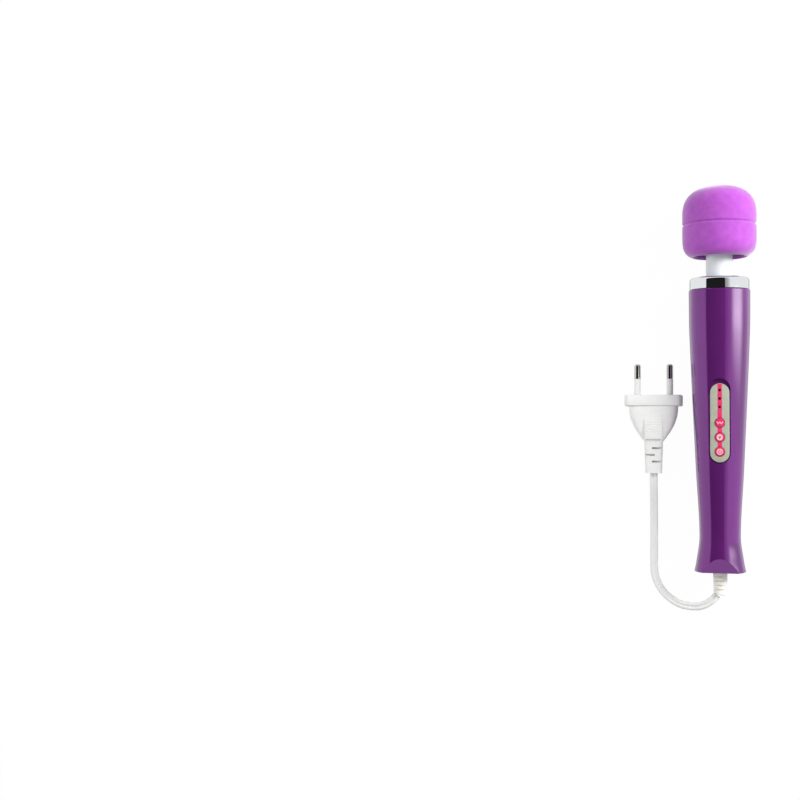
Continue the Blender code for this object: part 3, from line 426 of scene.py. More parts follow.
def plate(outline, top, bottom):
    """A flat outline of (x, along) points in the panel's frame, between two depths."""
    shape = bmesh.new()
    face = shape.faces.new([shape.verts.new((x, top, z)) for x, z in outline])
    made = bmesh.ops.extrude_face_region(shape, geom=[face])
    moved = [g for g in made["geom"] if isinstance(g, bmesh.types.BMVert)]
    bmesh.ops.translate(shape, vec=(0, bottom - top, 0), verts=moved)
    bmesh.ops.recalc_face_normals(shape, faces=shape.faces)
    return shape


def stadium(width, length, top, bottom):
    """A plate with round ends."""
    radius = width / 2
    reach = length / 2 - radius
    outline = []
    for end in (0, 1):
        middle = reach if end == 0 else -reach
        for i in range(33):
            angle = math.pi * (end + i / 32)
            outline.append((radius * math.cos(angle), middle + radius * math.sin(angle)))
    return plate(outline, top, bottom)


def carve(piece, shape, operation="DIFFERENCE"):
    """Joins or cuts the piece with a shape given in the same world place, and applies it."""
    mesh = bpy.data.meshes.new("tool")
    shape.to_mesh(mesh)
    shape.free()
    tool = bpy.data.objects.new("tool", mesh)
    bpy.context.scene.collection.objects.link(tool)
    boolean = piece.modifiers.new("carve", "BOOLEAN")
    boolean.operation = operation
    boolean.object = tool
    apply_modifiers(piece)
    bpy.data.objects.remove(tool, do_unlink=True)


def apply_modifiers(piece):
    graph = bpy.context.evaluated_depsgraph_get()
    made = bpy.data.meshes.new_from_object(piece.evaluated_get(graph))
    piece.modifiers.clear()
    piece.data = made


def repaint(piece, material, sharp=None):
    """Gives a carved piece its one finish back, and sharp edges past an angle in degrees."""
    piece.data.materials.clear()
    piece.data.materials.append(material)
    if sharp:
        smooth(piece, sharp)


def placed(shape, matrix):
    bmesh.ops.transform(shape, matrix=matrix, verts=shape.verts)
    return shape


def stand_for(piece, body, nodes):
    """Rides the piece on a body, in place of these plain solids."""
    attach(piece, body)
    if nodes:
        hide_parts(*nodes)
    return piece


def superellipse(radius, height, fullness, steps):
    """A quarter of a rounded-off rectangle, as (radius, height) points from the rim up."""
    found = []
    for i in range(steps + 1):
        angle = math.pi / 2 * i / steps
        r = radius * max(math.cos(angle), 0) ** (2 / fullness)
        found.append((r, height * math.sin(angle) ** (2 / fullness)))
    return found


def smooth_path(route, step):
    """Points every step or so along the smooth curve through the route."""
    route = [Vector(p) for p in route]
    places = [0.0]
    for a, b in zip(route, route[1:]):
        places.append(places[-1] + (b - a).length)
    count = round(places[-1] / step)
    curves = [[(s, p[axis]) for s, p in zip(places, route)] for axis in range(3)]
    stops = [places[-1] * i / count for i in range(count + 1)]
    return [Vector([smooth_value(curve, s) for curve in curves]) for s in stops]


# ---------------------------------------------------------------- camera


def place_camera():
    """Square to the wand at grip height, and turned so that the wand stands right of centre."""
    distance = 0.80
    view_height = 0.091
    turn_aside = math.radians(13.66)
    turn_up = math.radians(0.75)
    camera = bpy.data.cameras.new("camera")
    camera.sensor_width = 36
    camera.lens = 59.2
    camera.clip_start = 0.01
    made = bpy.data.objects.new("camera", camera)
    bpy.context.scene.collection.objects.link(made)
    stand = Matrix.Translation((0, -distance, view_height)) @ Matrix.Rotation(math.pi / 2, 4, "X")
    turn = Matrix.Rotation(turn_aside, 4, "Y") @ Matrix.Rotation(turn_up, 4, "X")
    made.matrix_world = WAND @ stand @ turn
    bpy.context.scene.camera = made


# ---------------------------------------------------------------- cord and plug


def make_cord():
    """Flat twin sheath: two lobes side by side with a shallow groove between them."""
    path = smooth_path(CORD_ROUTE, 1.0 * MM)
    half = CORD_WIDTH * 0.54
    lobe = 1.38 * MM
    lobe_middle = 0.48
    web_share = 0.68
    corners = 40
    section = []
    for i in range(corners):
        angle = math.tau * (i + 0.5) / corners
        x, y = math.cos(angle), math.sin(angle)
        lobes = math.sqrt(max(1 - ((abs(x) - lobe_middle) / (1 - lobe_middle)) ** 2, 0))
        web = web_share if abs(x) < lobe_middle else 0
        height = lobe * max(lobes, web) * (1 if y > 0 else -1)
        section.append((half * x, height))
    shape = bmesh.new()
    rings = []
    for i, point in enumerate(path):
        ahead = path[min(i + 1, len(path) - 1)] - path[max(i - 1, 0)]
        ahead.normalize()
        side = ahead.cross(Vector((0, 0, 1))).normalized()
        up = side.cross(ahead)
        rings.append([shape.verts.new(point + side * x + up * y) for x, y in section])
    for a, b in zip(rings, rings[1:]):
        for i in range(len(section)):
            j = (i + 1) % len(section)
            shape.faces.new((a[i], a[j], b[j], b[i]))
    shape.faces.new(rings[0])
    shape.faces.new(list(reversed(rings[-1])))
    bmesh.ops.recalc_face_normals(shape, faces=shape.faces)
    cord = to_object("cord_sheath", shape, cord_pvc, sharp=60)
    stand_for(cord, "handle", ["mains_cord"])
    length = sum((b - a).length for a, b in zip(path, path[1:]))
    return cord, path, length


def plug_sections():
    """(place, half width, half depth) along the plug's grip, then its tail."""
    start = PLUG_FACE_LENGTH - 1 * MM
    tail_width, tail_depth = 5.5 * MM, 4.7 * MM
    wide, deep = 14.6 * MM, 5.9 * MM
    rows = []
    for i in range(25):
        share = i / 24
        bell = math.cos(math.pi / 2 * share**1.25)
        width = tail_width + (wide - tail_width) * bell
        depth = tail_depth + (deep - tail_depth) * bell
        rows.append((-start - (PLUG_NECK - start) * share, width, depth))
    for i in range(1, 9):
        share = i / 8
        width = tail_width - 0.6 * MM * share
        rows.append((-PLUG_NECK - PLUG_TAIL * share, width, tail_depth - 0.4 * MM * share))
    return rows


def grip_shape():
    """The grip and tail as one closed skin of squarish rings."""
    squareness = 0.45
    corners = 40
    shape = bmesh.new()
    rings = []
    for y, width, depth in plug_sections():
        ring = []
        for i in range(corners):
            angle = math.tau * i / corners
            c, s = math.cos(angle), math.sin(angle)
            x = width * math.copysign(abs(c) ** squareness, c)
            z = depth * math.copysign(abs(s) ** squareness, s)
            ring.append(shape.verts.new((x, y, z)))
        rings.append(ring)
    bmesh.ops.bridge_loops(shape, edges=ring_edges(shape, rings))
    shape.faces.new(rings[0])
    shape.faces.new(list(reversed(rings[-1])))
    bmesh.ops.recalc_face_normals(shape, faces=shape.faces)
    return shape


def make_plug_body():
    """Face plate and grip in one moulding, its tail slotted from alternate sides."""
    low = (-PLUG_HALF_WIDTH, -PLUG_FACE_LENGTH, -PLUG_HALF_DEPTH)
    face = box(low, (PLUG_HALF_WIDTH, 0, PLUG_HALF_DEPTH), 3.2 * MM, 1)
    rims = [e for e in face.edges if not is_along(e, 1)]
    bevel(face, rims, 0.7 * MM, 3)
    moulding = to_object("plug_grip", face, plug_pvc, PLUG)
    carve(moulding, placed(grip_shape(), PLUG), "UNION")

    half_slot, reach, floor = 0.6 * MM, 8 * MM, 1.6 * MM
    for side, down in ((1, 4.0 * MM), (-1, 8.1 * MM), (1, 12.1 * MM)):
        at = -PLUG_NECK - down
        near, far = sorted((-side * 0.9 * MM, side * reach))
        for bottom, top in ((floor, reach), (-reach, -floor)):
            low, high = (near, at - half_slot, bottom), (far, at + half_slot, top)
            carve(moulding, placed(box(low, high, 0.3 * MM, 2, 2), PLUG))
    repaint(moulding, plug_pvc, 40)
    stand_for(moulding, "handle", ["plug_moulding"])
    return moulding


def make_grip_pads():
    """A pad with five ribs on each flat of the grip."""
    pads = []
    half_width, half_rib, rib_pitch = 5.2 * MM, 0.3 * MM, 1.35 * MM
    for side, name in ((-1, "grip_pad_down"), (1, "grip_pad_up")):
        pad = bmesh.new()
        low, high = sorted((side * (PAD_HEIGHT - 0.8 * MM), side * (PAD_HEIGHT + 0.5 * MM)))
        ends = (-half_width, -26.8 * MM, low), (half_width, -14.3 * MM, high)
        join(pad, box(*ends, 0.3 * MM, None, 2))
        for rib in range(5):
            at = -16.4 * MM - rib * rib_pitch
            low, high = sorted((side * PAD_HEIGHT, side * (PAD_HEIGHT + 0.7 * MM)))
            ends = (-4.4 * MM, at - half_rib, low), (4.4 * MM, at + half_rib, high)
            join(pad, box(*ends, 0.12 * MM, None, 2))
        piece = to_object(name, pad, plug_pvc, PLUG)
        stand_for(piece, "handle", [])
        pads.append(piece)
    return pads


def make_pins():
    """Round pins with domed tips, each in a sleeve over its root half."""
    pieces = []
    dome = 1.4 * MM
    sleeve_bore, sleeve_radius = 1.6 * MM, 1.95 * MM
    for side, name in ((-1, "left"), (1, "right")):
        across = Matrix.Translation((side * PIN_PITCH / 2, 0, 0))
        at = PLUG @ across @ Matrix.Rotation(-math.pi / 2, 4, "X")
        outline = [(0, PIN_LENGTH)]
        for i in range(1, 7):
            angle = math.pi / 2 * i / 6
            height = PIN_LENGTH - dome * (1 - math.cos(angle))
            outline.append((PIN_RADIUS * math.sin(angle), height))
        outline += [(PIN_RADIUS, PIN_BARE_FROM), (PIN_CORE_RADIUS, PIN_BARE_FROM)]
        outline += [(PIN_CORE_RADIUS, -PIN_BURIED), (0, -PIN_BURIED)]
        pin = to_object(f"pin_{name}", lathe(outline, False, SMALL_ROUND), nickel_plate, at)
        stand_for(pin, "handle", [f"plug_pin_{name}"])
        top = PIN_BARE_FROM - 0.2 * MM
        outline = [(sleeve_bore, top), (sleeve_radius - 0.1 * MM, top)]
        outline += [(sleeve_radius, top - 0.2 * MM), (sleeve_radius, 0.1 * MM)]
        outline += [(sleeve_bore, 0.1 * MM)]
        sleeve = to_object(f"sleeve_{name}", lathe(outline, True, SMALL_ROUND), plug_pvc, at)
        stand_for(sleeve, "handle", [f"pin_sleeve_{name}"])
        pieces += [pin, sleeve]
    return pieces


def make_plug():
    """Flat two-pin plug: moulded body, grip pads, pins and their sleeves."""
    moulding = make_plug_body()
    pads = make_grip_pads()
    return [moulding] + pads + make_pins()


def ring_edges(shape, rings):
    edges = []
    for ring in rings:
        for i, vert in enumerate(ring):
            edges.append(shape.edges.new((vert, ring[(i + 1) % len(ring)])))
    return edges


def join(shape, other):
    mesh = bpy.data.meshes.new("joined")
    other.to_mesh(mesh)
    other.free()
    shape.from_mesh(mesh)
    bpy.data.meshes.remove(mesh)


def smooth(piece, angle):
    piece.data.shade_smooth()
    piece.data.set_sharp_from_angle(angle=math.radians(angle))


# ---------------------------------------------------------------- handle


def handle_outline():
    """The turned shell's section: outside from the top down, the cord's hole, then inside."""
    heights = [i * 2.0 * MM for i in range(1, 83)]
    edge = 0.5 * MM
    turn = 0.15 * MM
    outline = [(TOP_RADIUS - edge, HANDLE_LENGTH)]
    outline += [(TOP_RADIUS - 0.14 * MM, HANDLE_LENGTH - turn), (TOP_RADIUS, HANDLE_LENGTH - edge)]
    outline += [(outer(h), h) for h in reversed(heights)]
    outline += [(BASE_RADIUS, edge), (BASE_RADIUS - turn, turn), (BASE_RADIUS - edge, 0)]
    hole = 3.4 * MM
    outline += [(hole, 0), (hole, BASE_WALL), (inner(BASE_WALL), BASE_WALL)]
    outline += [(inner(h), h) for h in heights if h > 4 * MM]
    outline.append((TOP_RADIUS - WALL, HANDLE_LENGTH))
    return outline


def half_shell(side):
    """The turned shell on one side, -1 or 1, of the parting plane."""
    shape = lathe(handle_outline())
    cut = bmesh.ops.bisect_plane(
        shape, geom=list(shape.verts) + list(shape.edges) + list(shape.faces), dist=1e-7,
        plane_co=(0, side * PARTING / 2, 0), plane_no=(0, -side, 0), clear_outer=True,
    )
    edges = [g for g in cut["geom_cut"] if isinstance(g, bmesh.types.BMEdge)]
    bmesh.ops.triangle_fill(shape, edges=edges, use_beauty=True)
    bmesh.ops.recalc_face_normals(shape, faces=shape.faces)
    return shape


def make_front_shell():
    """Front half, with the keypad's raised rim, dish, pocket and window, and the facet."""
    front = to_object("front_shell", half_shell(-1), pearl_lacquer, WAND)
    pad = stadium(12.4 * MM, 50 * MM, 1.75 * MM, 4.2 * MM)
    carve(front, placed(pad, PANEL), "UNION")
    dish = stadium(12.2 * MM, 49.6 * MM, -6 * MM, POCKET_FLOOR)
    carve(front, placed(dish, PANEL @ Matrix.Translation((0, 0, 1.1 * MM))))
    pocket = stadium(PANEL_WIDTH + 0.4 * MM, PANEL_LENGTH + 0.4 * MM, 0, 2.8 * MM)
    carve(front, placed(pocket, PANEL))
    window = stadium(8.4 * MM, 43.5 * MM, 0, 6.2 * MM)
    carve(front, placed(window, PANEL))
    lean = math.atan((FACET_TOP - FACET_FOOT) / FACET_HEIGHT)
    reach = 30 * MM
    facet = box((-reach, -reach, -reach), (reach, 0, reach))
    at = Matrix.Translation((0, -FACET_FOOT, 0)) @ Matrix.Rotation(lean, 4, "X")
    carve(front, placed(facet, WAND @ at))
    repaint(front, pearl_lacquer, 25)
    soft_edges = front.modifiers.new("soft_edges", "BEVEL")
    soft_edges.width = 0.35 * MM
    soft_edges.segments = 3
    soft_edges.limit_method = "ANGLE"
    soft_edges.angle_limit = math.radians(22)
    soft_edges.use_clamp_overlap = True
    soft_edges.harden_normals = True
    stand_for(front, "handle", ["handle_front_shell"])


def make_back_shell():
    """Back half, with a bored boss for each screw."""
    back = to_object("back_shell", half_shell(1), pearl_lacquer, WAND)
    for height in SCREW_HEIGHTS:
        wall = outer(height) - 1.3 * MM
        boss = rod(3.6 * MM, PARTING, wall, 1, SMALL_ROUND, (0, 0, height))
        carve(back, placed(boss, WAND), "UNION")
        bore = rod(2.6 * MM, 3.5 * MM, outer(height) + WALL, 1, SMALL_ROUND, (0, 0, height))
        carve(back, placed(bore, WAND))
        hole = rod(1.5 * MM, -WALL, 4 * MM, 1, SMALL_ROUND, (0, 0, height))
        carve(back, placed(hole, WAND))
    repaint(back, pearl_lacquer, 25)
    stand_for(back, "handle", ["handle_back_shell"])


def make_screws():
    """Pan heads with a cross recess, deep in their bores."""
    top, seat, point = 5.2 * MM, 3.8 * MM, -6 * MM
    head, shank = 2.3 * MM, 1.2 * MM
    for index, height in enumerate(SCREW_HEIGHTS, 1):
        outline = [(0, top), (1.5 * MM, top - 0.1 * MM), (2.1 * MM, top - 0.5 * MM)]
        outline += [(head, top - 0.9 * MM), (head, seat), (shank, seat)]
        outline += [(shank, point), (0, point)]
        at = WAND @ Matrix.Translation((0, 0, height)) @ Matrix.Rotation(-math.pi / 2, 4, "X")
        screw = to_object(f"screw_{index}", lathe(outline, False, SMALL_ROUND), zinc, at)
        for turn in (0, math.pi / 2):
            slot = box((-1.3 * MM, -0.3 * MM, top - 0.9 * MM), (1.3 * MM, 0.3 * MM, top + 1 * MM))
            carve(screw, placed(slot, at @ Matrix.Rotation(turn, 4, "Z")))
        repaint(screw, zinc, 35)
        stand_for(screw, "handle", [f"case_screw_{index}"])


def make_collar():
    """Plated ring with a rounded shoulder, open for the neck."""
    rounding = 2.2 * MM
    bore = 8.6 * MM
    wall = 1.5 * MM
    outline = [(bore, COLLAR_TOP - 0.3 * MM), (bore + 0.3 * MM, COLLAR_TOP)]
    for i in range(9):
        angle = math.pi / 2 * (1 - i / 8)
        r = COLLAR_RADIUS - rounding * (1 - math.cos(angle))
        outline.append((r, COLLAR_TOP - rounding * (1 - math.sin(angle))))
    outline += [(COLLAR_RADIUS, COLLAR_BASE), (COLLAR_RADIUS - wall, COLLAR_BASE)]
    outline += [(COLLAR_RADIUS - wall, COLLAR_TOP - 2.6 * MM)]
    outline += [(COLLAR_RADIUS - 2.6 * MM, COLLAR_TOP - wall), (bore, COLLAR_TOP - wall)]
    collar = to_object("collar_ring", lathe(outline), chrome_plate, WAND, 50)
    stand_for(collar, "handle", ["chrome_collar"])


def make_neck():
    """Polished tube from inside the collar up into the head."""
    low, high = 163 * MM, 192.5 * MM
    edge = 0.3 * MM
    bore = 5.5 * MM
    outline = [(bore, high), (NECK_RADIUS - edge, high), (NECK_RADIUS, high - edge)]
    outline += [(NECK_RADIUS, low + edge), (NECK_RADIUS - edge, low), (bore, low)]
    neck = to_object("neck_tube", lathe(outline), neck_gloss, WAND)
    stand_for(neck, "neck", ["neck_sleeve"])


def make_head():
    """Soft cushion with a seam groove, hollow from below."""
    upper = HEAD_BASE + 25.8 * MM
    skirt = 15.8 * MM
    cavity = 16.5 * MM
    crown = superellipse(HEAD_RADIUS, HEAD_BASE + HEAD_LENGTH - upper, 2.5, 40)
    outline = [(r, upper + h) for r, h in reversed(crown)]
    outline[0] = (0, outline[0][1])
    for i in range(13):
        share = i / 12 * 2 - 1
        dip = 0.85 * MM * (0.5 + 0.5 * math.cos(math.pi * share)) ** 1.5
        outline.append((HEAD_RADIUS - dip, SEAM - share * 1.3 * MM))
    lower = superellipse(HEAD_RADIUS, skirt, 4.0, 60)
    lip = RECESS + 0.9 * MM
    outline += [(r, HEAD_BASE + skirt - h) for r, h in lower if r > lip]
    last = outline[-1][1]
    outline += [(RECESS + 0.25 * MM, last + 0.12 * MM), (RECESS, last + 0.6 * MM)]
    step = HEAD_BASE + 3.3 * MM
    outline += [(RECESS, step), (cavity, step), (cavity, HEAD_ROOF), (0, HEAD_ROOF)]
    head = to_object("head_cushion", lathe(outline, False), soft_silicone, WAND, 50)
    stand_for(head, "head", ["head_cover"])


def make_underside():
    """Grey disc that closes the head from below, with a shallow round groove."""
    top, face, groove = 190 * MM, 187.9 * MM, 188.4 * MM
    bore, rim = 8.6 * MM, 16.2 * MM
    outline = [(bore, top), (bore, face + 0.3 * MM), (bore + 0.4 * MM, face)]
    outline += [(10.4 * MM, face), (10.8 * MM, groove), (12.6 * MM, groove)]
    outline += [(13.0 * MM, face), (rim, face), (rim, top)]
    flange = to_object("head_underside", lathe(list(reversed(outline))), nylon, WAND)
    stand_for(flange, "head", ["head_flange"])


def make_relief():
    """Tapered sleeve, slotted front and back between solid rails; its end bends with the cord."""
    length, end_radius, radius = 13.4 * MM, 3.7 * MM, 4.2 * MM
    anchor, anchor_top, shelf, throat = 5.2 * MM, 4.8 * MM, 2.8 * MM, 3.1 * MM
    outline = [(0, anchor_top), (anchor, anchor_top), (anchor, shelf), (throat, shelf)]
    outline += [(throat, 0), (radius - 0.3 * MM, -GAP), (radius, -2 * GAP)]
    for step in range(1, 24):
        share = step / 24
        outline.append((radius + (end_radius - radius) * share, -2 * GAP - 12.4 * MM * share))
    outline += [(end_radius, -length + 0.4 * MM), (end_radius - 0.4 * MM, -length), (0, -length)]
    relief = to_object("strain_relief", lathe(outline, False, 48), relief_tpe)
    pitch = 2.6 * MM
    for slot in range(4):
        at = -2.7 * MM - slot * pitch
        for side in (-1, 1):
            near, far = sorted((side * 2.5 * MM, side * 8 * MM))
            low, high = (-3.3 * MM, near, at - 0.5 * MM), (3.3 * MM, far, at + 0.5 * MM)
            carve(relief, box(low, high, 0.2 * MM, 1, 3))
    bend_end(relief.data, 9.5 * MM, length, math.radians(14))
    relief.data.transform(WAND)
    repaint(relief, relief_tpe, 35)
    stand_for(relief, "handle", ["cord_strain_relief"])


def bend_end(mesh, straight, length, bend):
    """Turns what lies past the straight part aside, along an arc."""
    turn_radius = (length - straight) / bend
    for vert in mesh.vertices:
        x, y, height = vert.co
        beyond = -height - straight
        if beyond > 0:
            angle = beyond / turn_radius
            across = -turn_radius * (1 - math.cos(angle)) + x * math.cos(angle)
            down = straight + turn_radius * math.sin(angle) + x * math.sin(angle)
            vert.co = (across, y, -down)


# ---------------------------------------------------------------- keypad


def drill_keypad(piece):
    """The holes for the keys, then those for the lights."""
    for places, radius in ((BUTTON_PLACES.values(), KEY_HOLE), (LIGHT_PLACES, LIGHT_HOLE)):
        for place in places:
            hole = rod(radius, 0, 4 * MM, 1, SMALL_ROUND, (0, 0, place))
            carve(piece, placed(hole, PANEL))


def make_keypad():
    """Printed film with its stripe, three lights and three keys."""
    film_top = PANEL_TOP
    overlay = stadium(PANEL_WIDTH, PANEL_LENGTH, film_top, film_top + 1.2 * MM)
    rim = [e for e in overlay.edges if all(abs(v.co.y - film_top) < 1e-6 for v in e.verts)]
    bevel(overlay, rim, 0.25 * MM, 3)
    overlay = to_object("keypad_film", overlay, film, PANEL)
    drill_keypad(overlay)
    repaint(overlay, film, 35)
    stand_for(overlay, "handle", ["panel_overlay"])

    half, ink = 1.25 * MM, 0.05 * MM
    low = (-half, film_top - ink, BUTTON_PLACES["power"])
    high = (half, film_top + ink, PANEL_LENGTH / 2 - 0.25 * MM)
    stripe = to_object("pink_stripe", box(low, high), ink_pink, PANEL)
    drill_keypad(stripe)
    repaint(stripe, ink_pink)
    stand_for(stripe, "handle", [])

    rim, root = 0.7 * MM, -7 * MM
    for index, place in enumerate(LIGHT_PLACES, 1):
        outline = [(0, 0.15 * MM), (0.35 * MM, 0.11 * MM), (0.6 * MM, 0), (rim, -0.2 * MM)]
        outline += [(rim, root), (0, root)]
        at = PANEL @ Matrix.Translation((0, film_top, place)) @ Matrix.Rotation(math.pi / 2, 4, "X")
        lens = to_object(f"light_{index}", lathe(outline, False, 24), smoked_acrylic, at)
        stand_for(lens, "handle", [f"indicator_light_{index}"])
    for name, place in BUTTON_PLACES.items():
        make_button(name, place, film_top)


def make_button(name, place, film_top):
    """Pink key with a rounded edge and its sign on the face."""
    radius, flange = 2.72 * MM, 3.4 * MM
    shoulder, foot = -4.2 * MM, -4.9 * MM
    stand = 0.4 * MM
    outline = [(0, stand), (radius - 0.45 * MM, stand), (radius - 0.15 * MM, stand - 0.08 * MM)]
    outline += [(radius, stand - 0.3 * MM), (radius, shoulder), (flange, shoulder)]
    outline += [(flange, foot), (0, foot)]
    at = PANEL @ Matrix.Translation((0, film_top, place)) @ Matrix.Rotation(math.pi / 2, 4, "X")
    key = to_object(f"key_{name}", lathe(outline, False, 64), key_pink, at)
    stand_for(key, f"button_{name}", [f"button_{name}"])
    face = film_top - stand
    local = PANEL @ Matrix.Translation((0, 0, place))
    pieces = []
    if name in ("power", "slower"):
        pieces.append((disc(1.75 * MM, face, 0.03 * MM), ink_pale, "field"))
    if name == "power":
        half, tall = 0.25 * MM, 1.4 * MM
        bar = [(-half, 0), (half, 0), (half, tall), (-half, tall)]
        pieces.append((arc(0.7 * MM, 1.2 * MM, 50, 310, face), ink_pink, "ring"))
        pieces.append((plate(bar, face - SIGN_DEPTH, face), ink_pink, "bar"))
    elif name == "slower":
        half, top = 1.05 * MM, 0.55 * MM
        arrow = [(-half, top), (0, -1.15 * MM), (half, top)]
        pieces.append((plate(arrow, face - SIGN_DEPTH, face), ink_pink, "arrow"))
    else:
        pieces.append((wave(face), ink_pale, "wave"))
    for shape, ink, word in pieces:
        sign = to_object(f"sign_{name}_{word}", shape, ink, local)
        stand_for(sign, f"button_{name}", [])


def disc(radius, face, thickness):
    """A thin round plate on a key's face."""
    turns = [math.tau * i / 48 for i in range(48)]
    outline = [(radius * math.cos(a), radius * math.sin(a)) for a in turns]
    return plate(outline, face - thickness, face)


def arc(near, far, start, end, face):
    """Part of a ring, from one angle to another, counted from the upward way."""
    turns = [math.radians(start + (end - start) * i / 40) for i in range(41)]
    outline = [(far * math.sin(a), far * math.cos(a)) for a in turns]
    outline += [(near * math.sin(a), near * math.cos(a)) for a in reversed(turns)]
    return plate(outline, face - SIGN_DEPTH, face)


def wave(face):
    """A zigzag line, the sign of a pulsing pattern."""
    line = [(-1.7, 0.75), (-0.85, -0.75), (0, 0.75), (0.85, -0.75), (1.7, 0.75)]
    half = 0.26
    sign = bmesh.new()
    for (x0, z0), (x1, z1) in zip(line, line[1:]):
        corners = [(x0 - half, z0), (x0 + half, z0), (x1 + half, z1), (x1 - half, z1)]
        join(sign, plate([(x * MM, z * MM) for x, z in corners], face - 0.05 * MM, face))
    return sign


# ---------------------------------------------------------------- stage


def blend(tree, operation, first, second):
    """The sum, product or larger of two sockets' values."""
    return node(
        tree, "ShaderNodeMath", {"operation": operation}, {0: first, 1: second}
    ).outputs[0]


def make_floor():
    """Matt to the light, so that it keeps the shadow, and near white to the camera."""
    shape = bmesh.new()
    bmesh.ops.create_grid(shape, x_segments=1, y_segments=1, size=3)
    floor_paint = bpy.data.materials.new("white_sweep")
    floor_paint.use_nodes = True
    tree = floor_paint.node_tree
    tree.nodes.clear()
    matt = node(tree, "ShaderNodeBsdfDiffuse", {"Color": (0.62, 0.62, 0.62, 1)})
    glow = node(tree, "ShaderNodeEmission", {"Color": (1, 1, 1, 1), "Strength": 1.03})
    seen = node(tree, "ShaderNodeLightPath")
    share = node(
        tree, "ShaderNodeMath", {"operation": "MULTIPLY", 1: 0.94},
        {0: seen.outputs["Is Camera Ray"]},
    )
    both = node(
        tree, "ShaderNodeMixShader", {},
        {0: share.outputs[0], 1: matt.outputs[0], 2: glow.outputs[0]},
    )
    node(tree, "ShaderNodeOutputMaterial", {}, {"Surface": both.outputs[0]})
    floor = to_object("floor", shape, floor_paint, Matrix.Translation((0, 0, -0.05 * MM)))
    floor.visible_glossy = False


def make_world():
    """White to the camera and to mirrors, and a soft sky from above to matt surfaces."""
    world = bpy.data.worlds.new("studio")
    bpy.context.scene.world = world
    world.use_nodes = True
    tree = world.node_tree
    tree.nodes.clear()
    seen = node(tree, "ShaderNodeLightPath").outputs
    direct = blend(tree, "MAXIMUM", seen["Is Camera Ray"], seen["Is Transmission Ray"])
    way = node(tree, "ShaderNodeNewGeometry").outputs["Incoming"]
    upward = node(tree, "ShaderNodeSeparateXYZ", {}, {0: way}).outputs["Z"]
    rim = ramp_between(tree, upward, 0.80, 0.98, 0.35, 1.0)
    mirrored = blend(tree, "MULTIPLY", rim, seen["Is Glossy Ray"])
    level = blend(tree, "MAXIMUM", direct, mirrored)
    overhead = ramp_between(tree, upward, 0.1, -0.9, SKY_LIGHT, 0.12)
    soft = blend(tree, "MULTIPLY", overhead, seen["Is Diffuse Ray"])
    total = blend(tree, "MAXIMUM", level, soft)
    sky = node(tree, "ShaderNodeBackground", {"Color": (1, 1, 1, 1)}, {"Strength": total})
    node(tree, "ShaderNodeOutputWorld", {}, {"Surface": sky.outputs[0]})


def softbox(name, place, target, size, power):
    """A square-on area lamp that mirrors don't show."""
    lamp = bpy.data.lights.new(name, "AREA")
    lamp.shape = "RECTANGLE"
    lamp.size, lamp.size_y = size
    lamp.energy = power
    made = bpy.data.objects.new(name, lamp)
    made.visible_glossy = False
    bpy.context.scene.collection.objects.link(made)
    way = Vector(target) - Vector(place)
    turn = way.to_track_quat("-Z", "Y").to_matrix().to_4x4()
    made.matrix_world = Matrix.Translation(place) @ turn


def glow_card(name, corners, brightness):
    """A card of the four corners seen only in reflections; brightness builds its glow."""
    shape = bmesh.new()
    shape.faces.new([shape.verts.new(corner) for corner in corners])
    card = bpy.data.materials.new(name)
    card.use_nodes = True
    tree = card.node_tree
    tree.nodes.clear()
    place = node(tree, "ShaderNodeTexCoord").outputs["Object"]
    where = node(tree, "ShaderNodeSeparateXYZ", {}, {0: place}).outputs
    colour, strength = brightness(tree, where)
    glow = node(tree, "ShaderNodeEmission", {"Color": colour}, {"Strength": strength})
    node(tree, "ShaderNodeOutputMaterial", {}, {"Surface": glow.outputs[0]})
    made = to_object(name, shape, card)
    made.visible_camera = False
    made.visible_diffuse = False
    made.visible_shadow = False
    made.visible_transmission = False


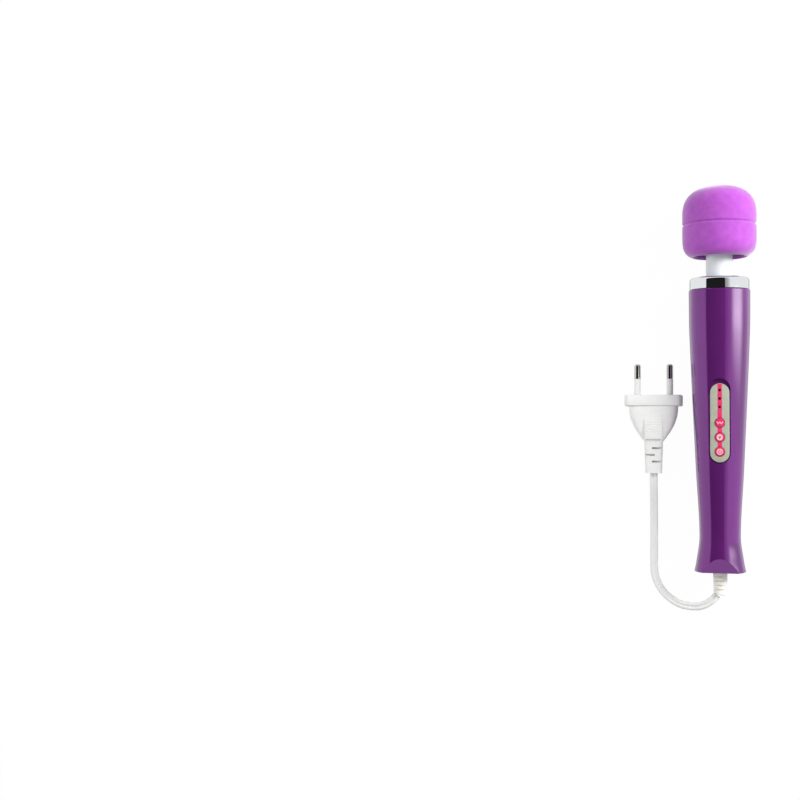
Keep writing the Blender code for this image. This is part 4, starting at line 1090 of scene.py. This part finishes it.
def ramp_between(tree, value, dark, light, high, low=0.0):
    """A smooth rise of the value's range from dark to light, out to low and high."""
    return node(
        tree, "ShaderNodeMapRange",
        {"interpolation_type": "SMOOTHSTEP", "From Min": dark, "From Max": light,
         "To Min": low, "To Max": high},
        {"Value": value},
    ).outputs["Result"]


def flag_glow(tree, where):
    """Dark, then a step to half and a soft rise towards the right."""
    soft = ramp_between(tree, where["X"], 0.27, 0.62, 0.6)
    step = ramp_between(tree, where["X"], 0.235, 0.25, 0.4, 0.015)
    return (1, 1, 1, 1), blend(tree, "ADD", soft, step)


def highlight_glow(tree, where):
    """Bright low in the card, fading upwards, downwards and along the wand to its foot."""
    above = ramp_between(tree, where["Z"], 0.70, 0.32, 1.0)
    below = ramp_between(tree, where["Z"], -0.12, 0.16, 1.0)
    along = ramp_between(tree, where["Y"], -0.06, 0.085, 7.6)
    total = blend(tree, "MULTIPLY", blend(tree, "MULTIPLY", above, below), along)
    base = node(tree, "ShaderNodeMath", {"operation": "ADD", 1: 1.0}, {0: total})
    return (0.57, 1.0, 0.50, 1), base.outputs[0]


def make_cards():
    """A dark card overhead and a bright one upright on the right, both seen only in mirrors."""
    height = 0.62
    left, right, near, far = -0.76, 0.72, -0.52, 0.8
    flat = [(left, near, height), (right, near, height), (right, far, height), (left, far, height)]
    glow_card("black_card", flat, flag_glow)
    side = 0.6
    low, high, near, far = -0.4, 0.70, -0.08, 0.108
    upright = [(side, near, low), (side, near, high), (side, far, high), (side, far, low)]
    glow_card("highlight_card", upright, highlight_glow)


# ---------------------------------------------------------------- assembly

place_camera()
cord, cord_path, cord_length = make_cord()
dress_cad_nodes()
plug_pieces = make_plug()
make_front_shell()
make_back_shell()
make_screws()
make_collar()
make_neck()
make_head()
make_underside()
make_relief()
make_keypad()
make_floor()
make_world()
softbox("key", (0.56, 0.30, 0.34), (0, 0.07, 0.02), (0.30, 0.50), 7.8)
softbox("fill", (-0.60, 0.05, 0.16), (0, 0, 0.02), (0.3, 0.8), 1.9)
make_cards()

bpy.context.scene.view_settings.view_transform = "Standard"
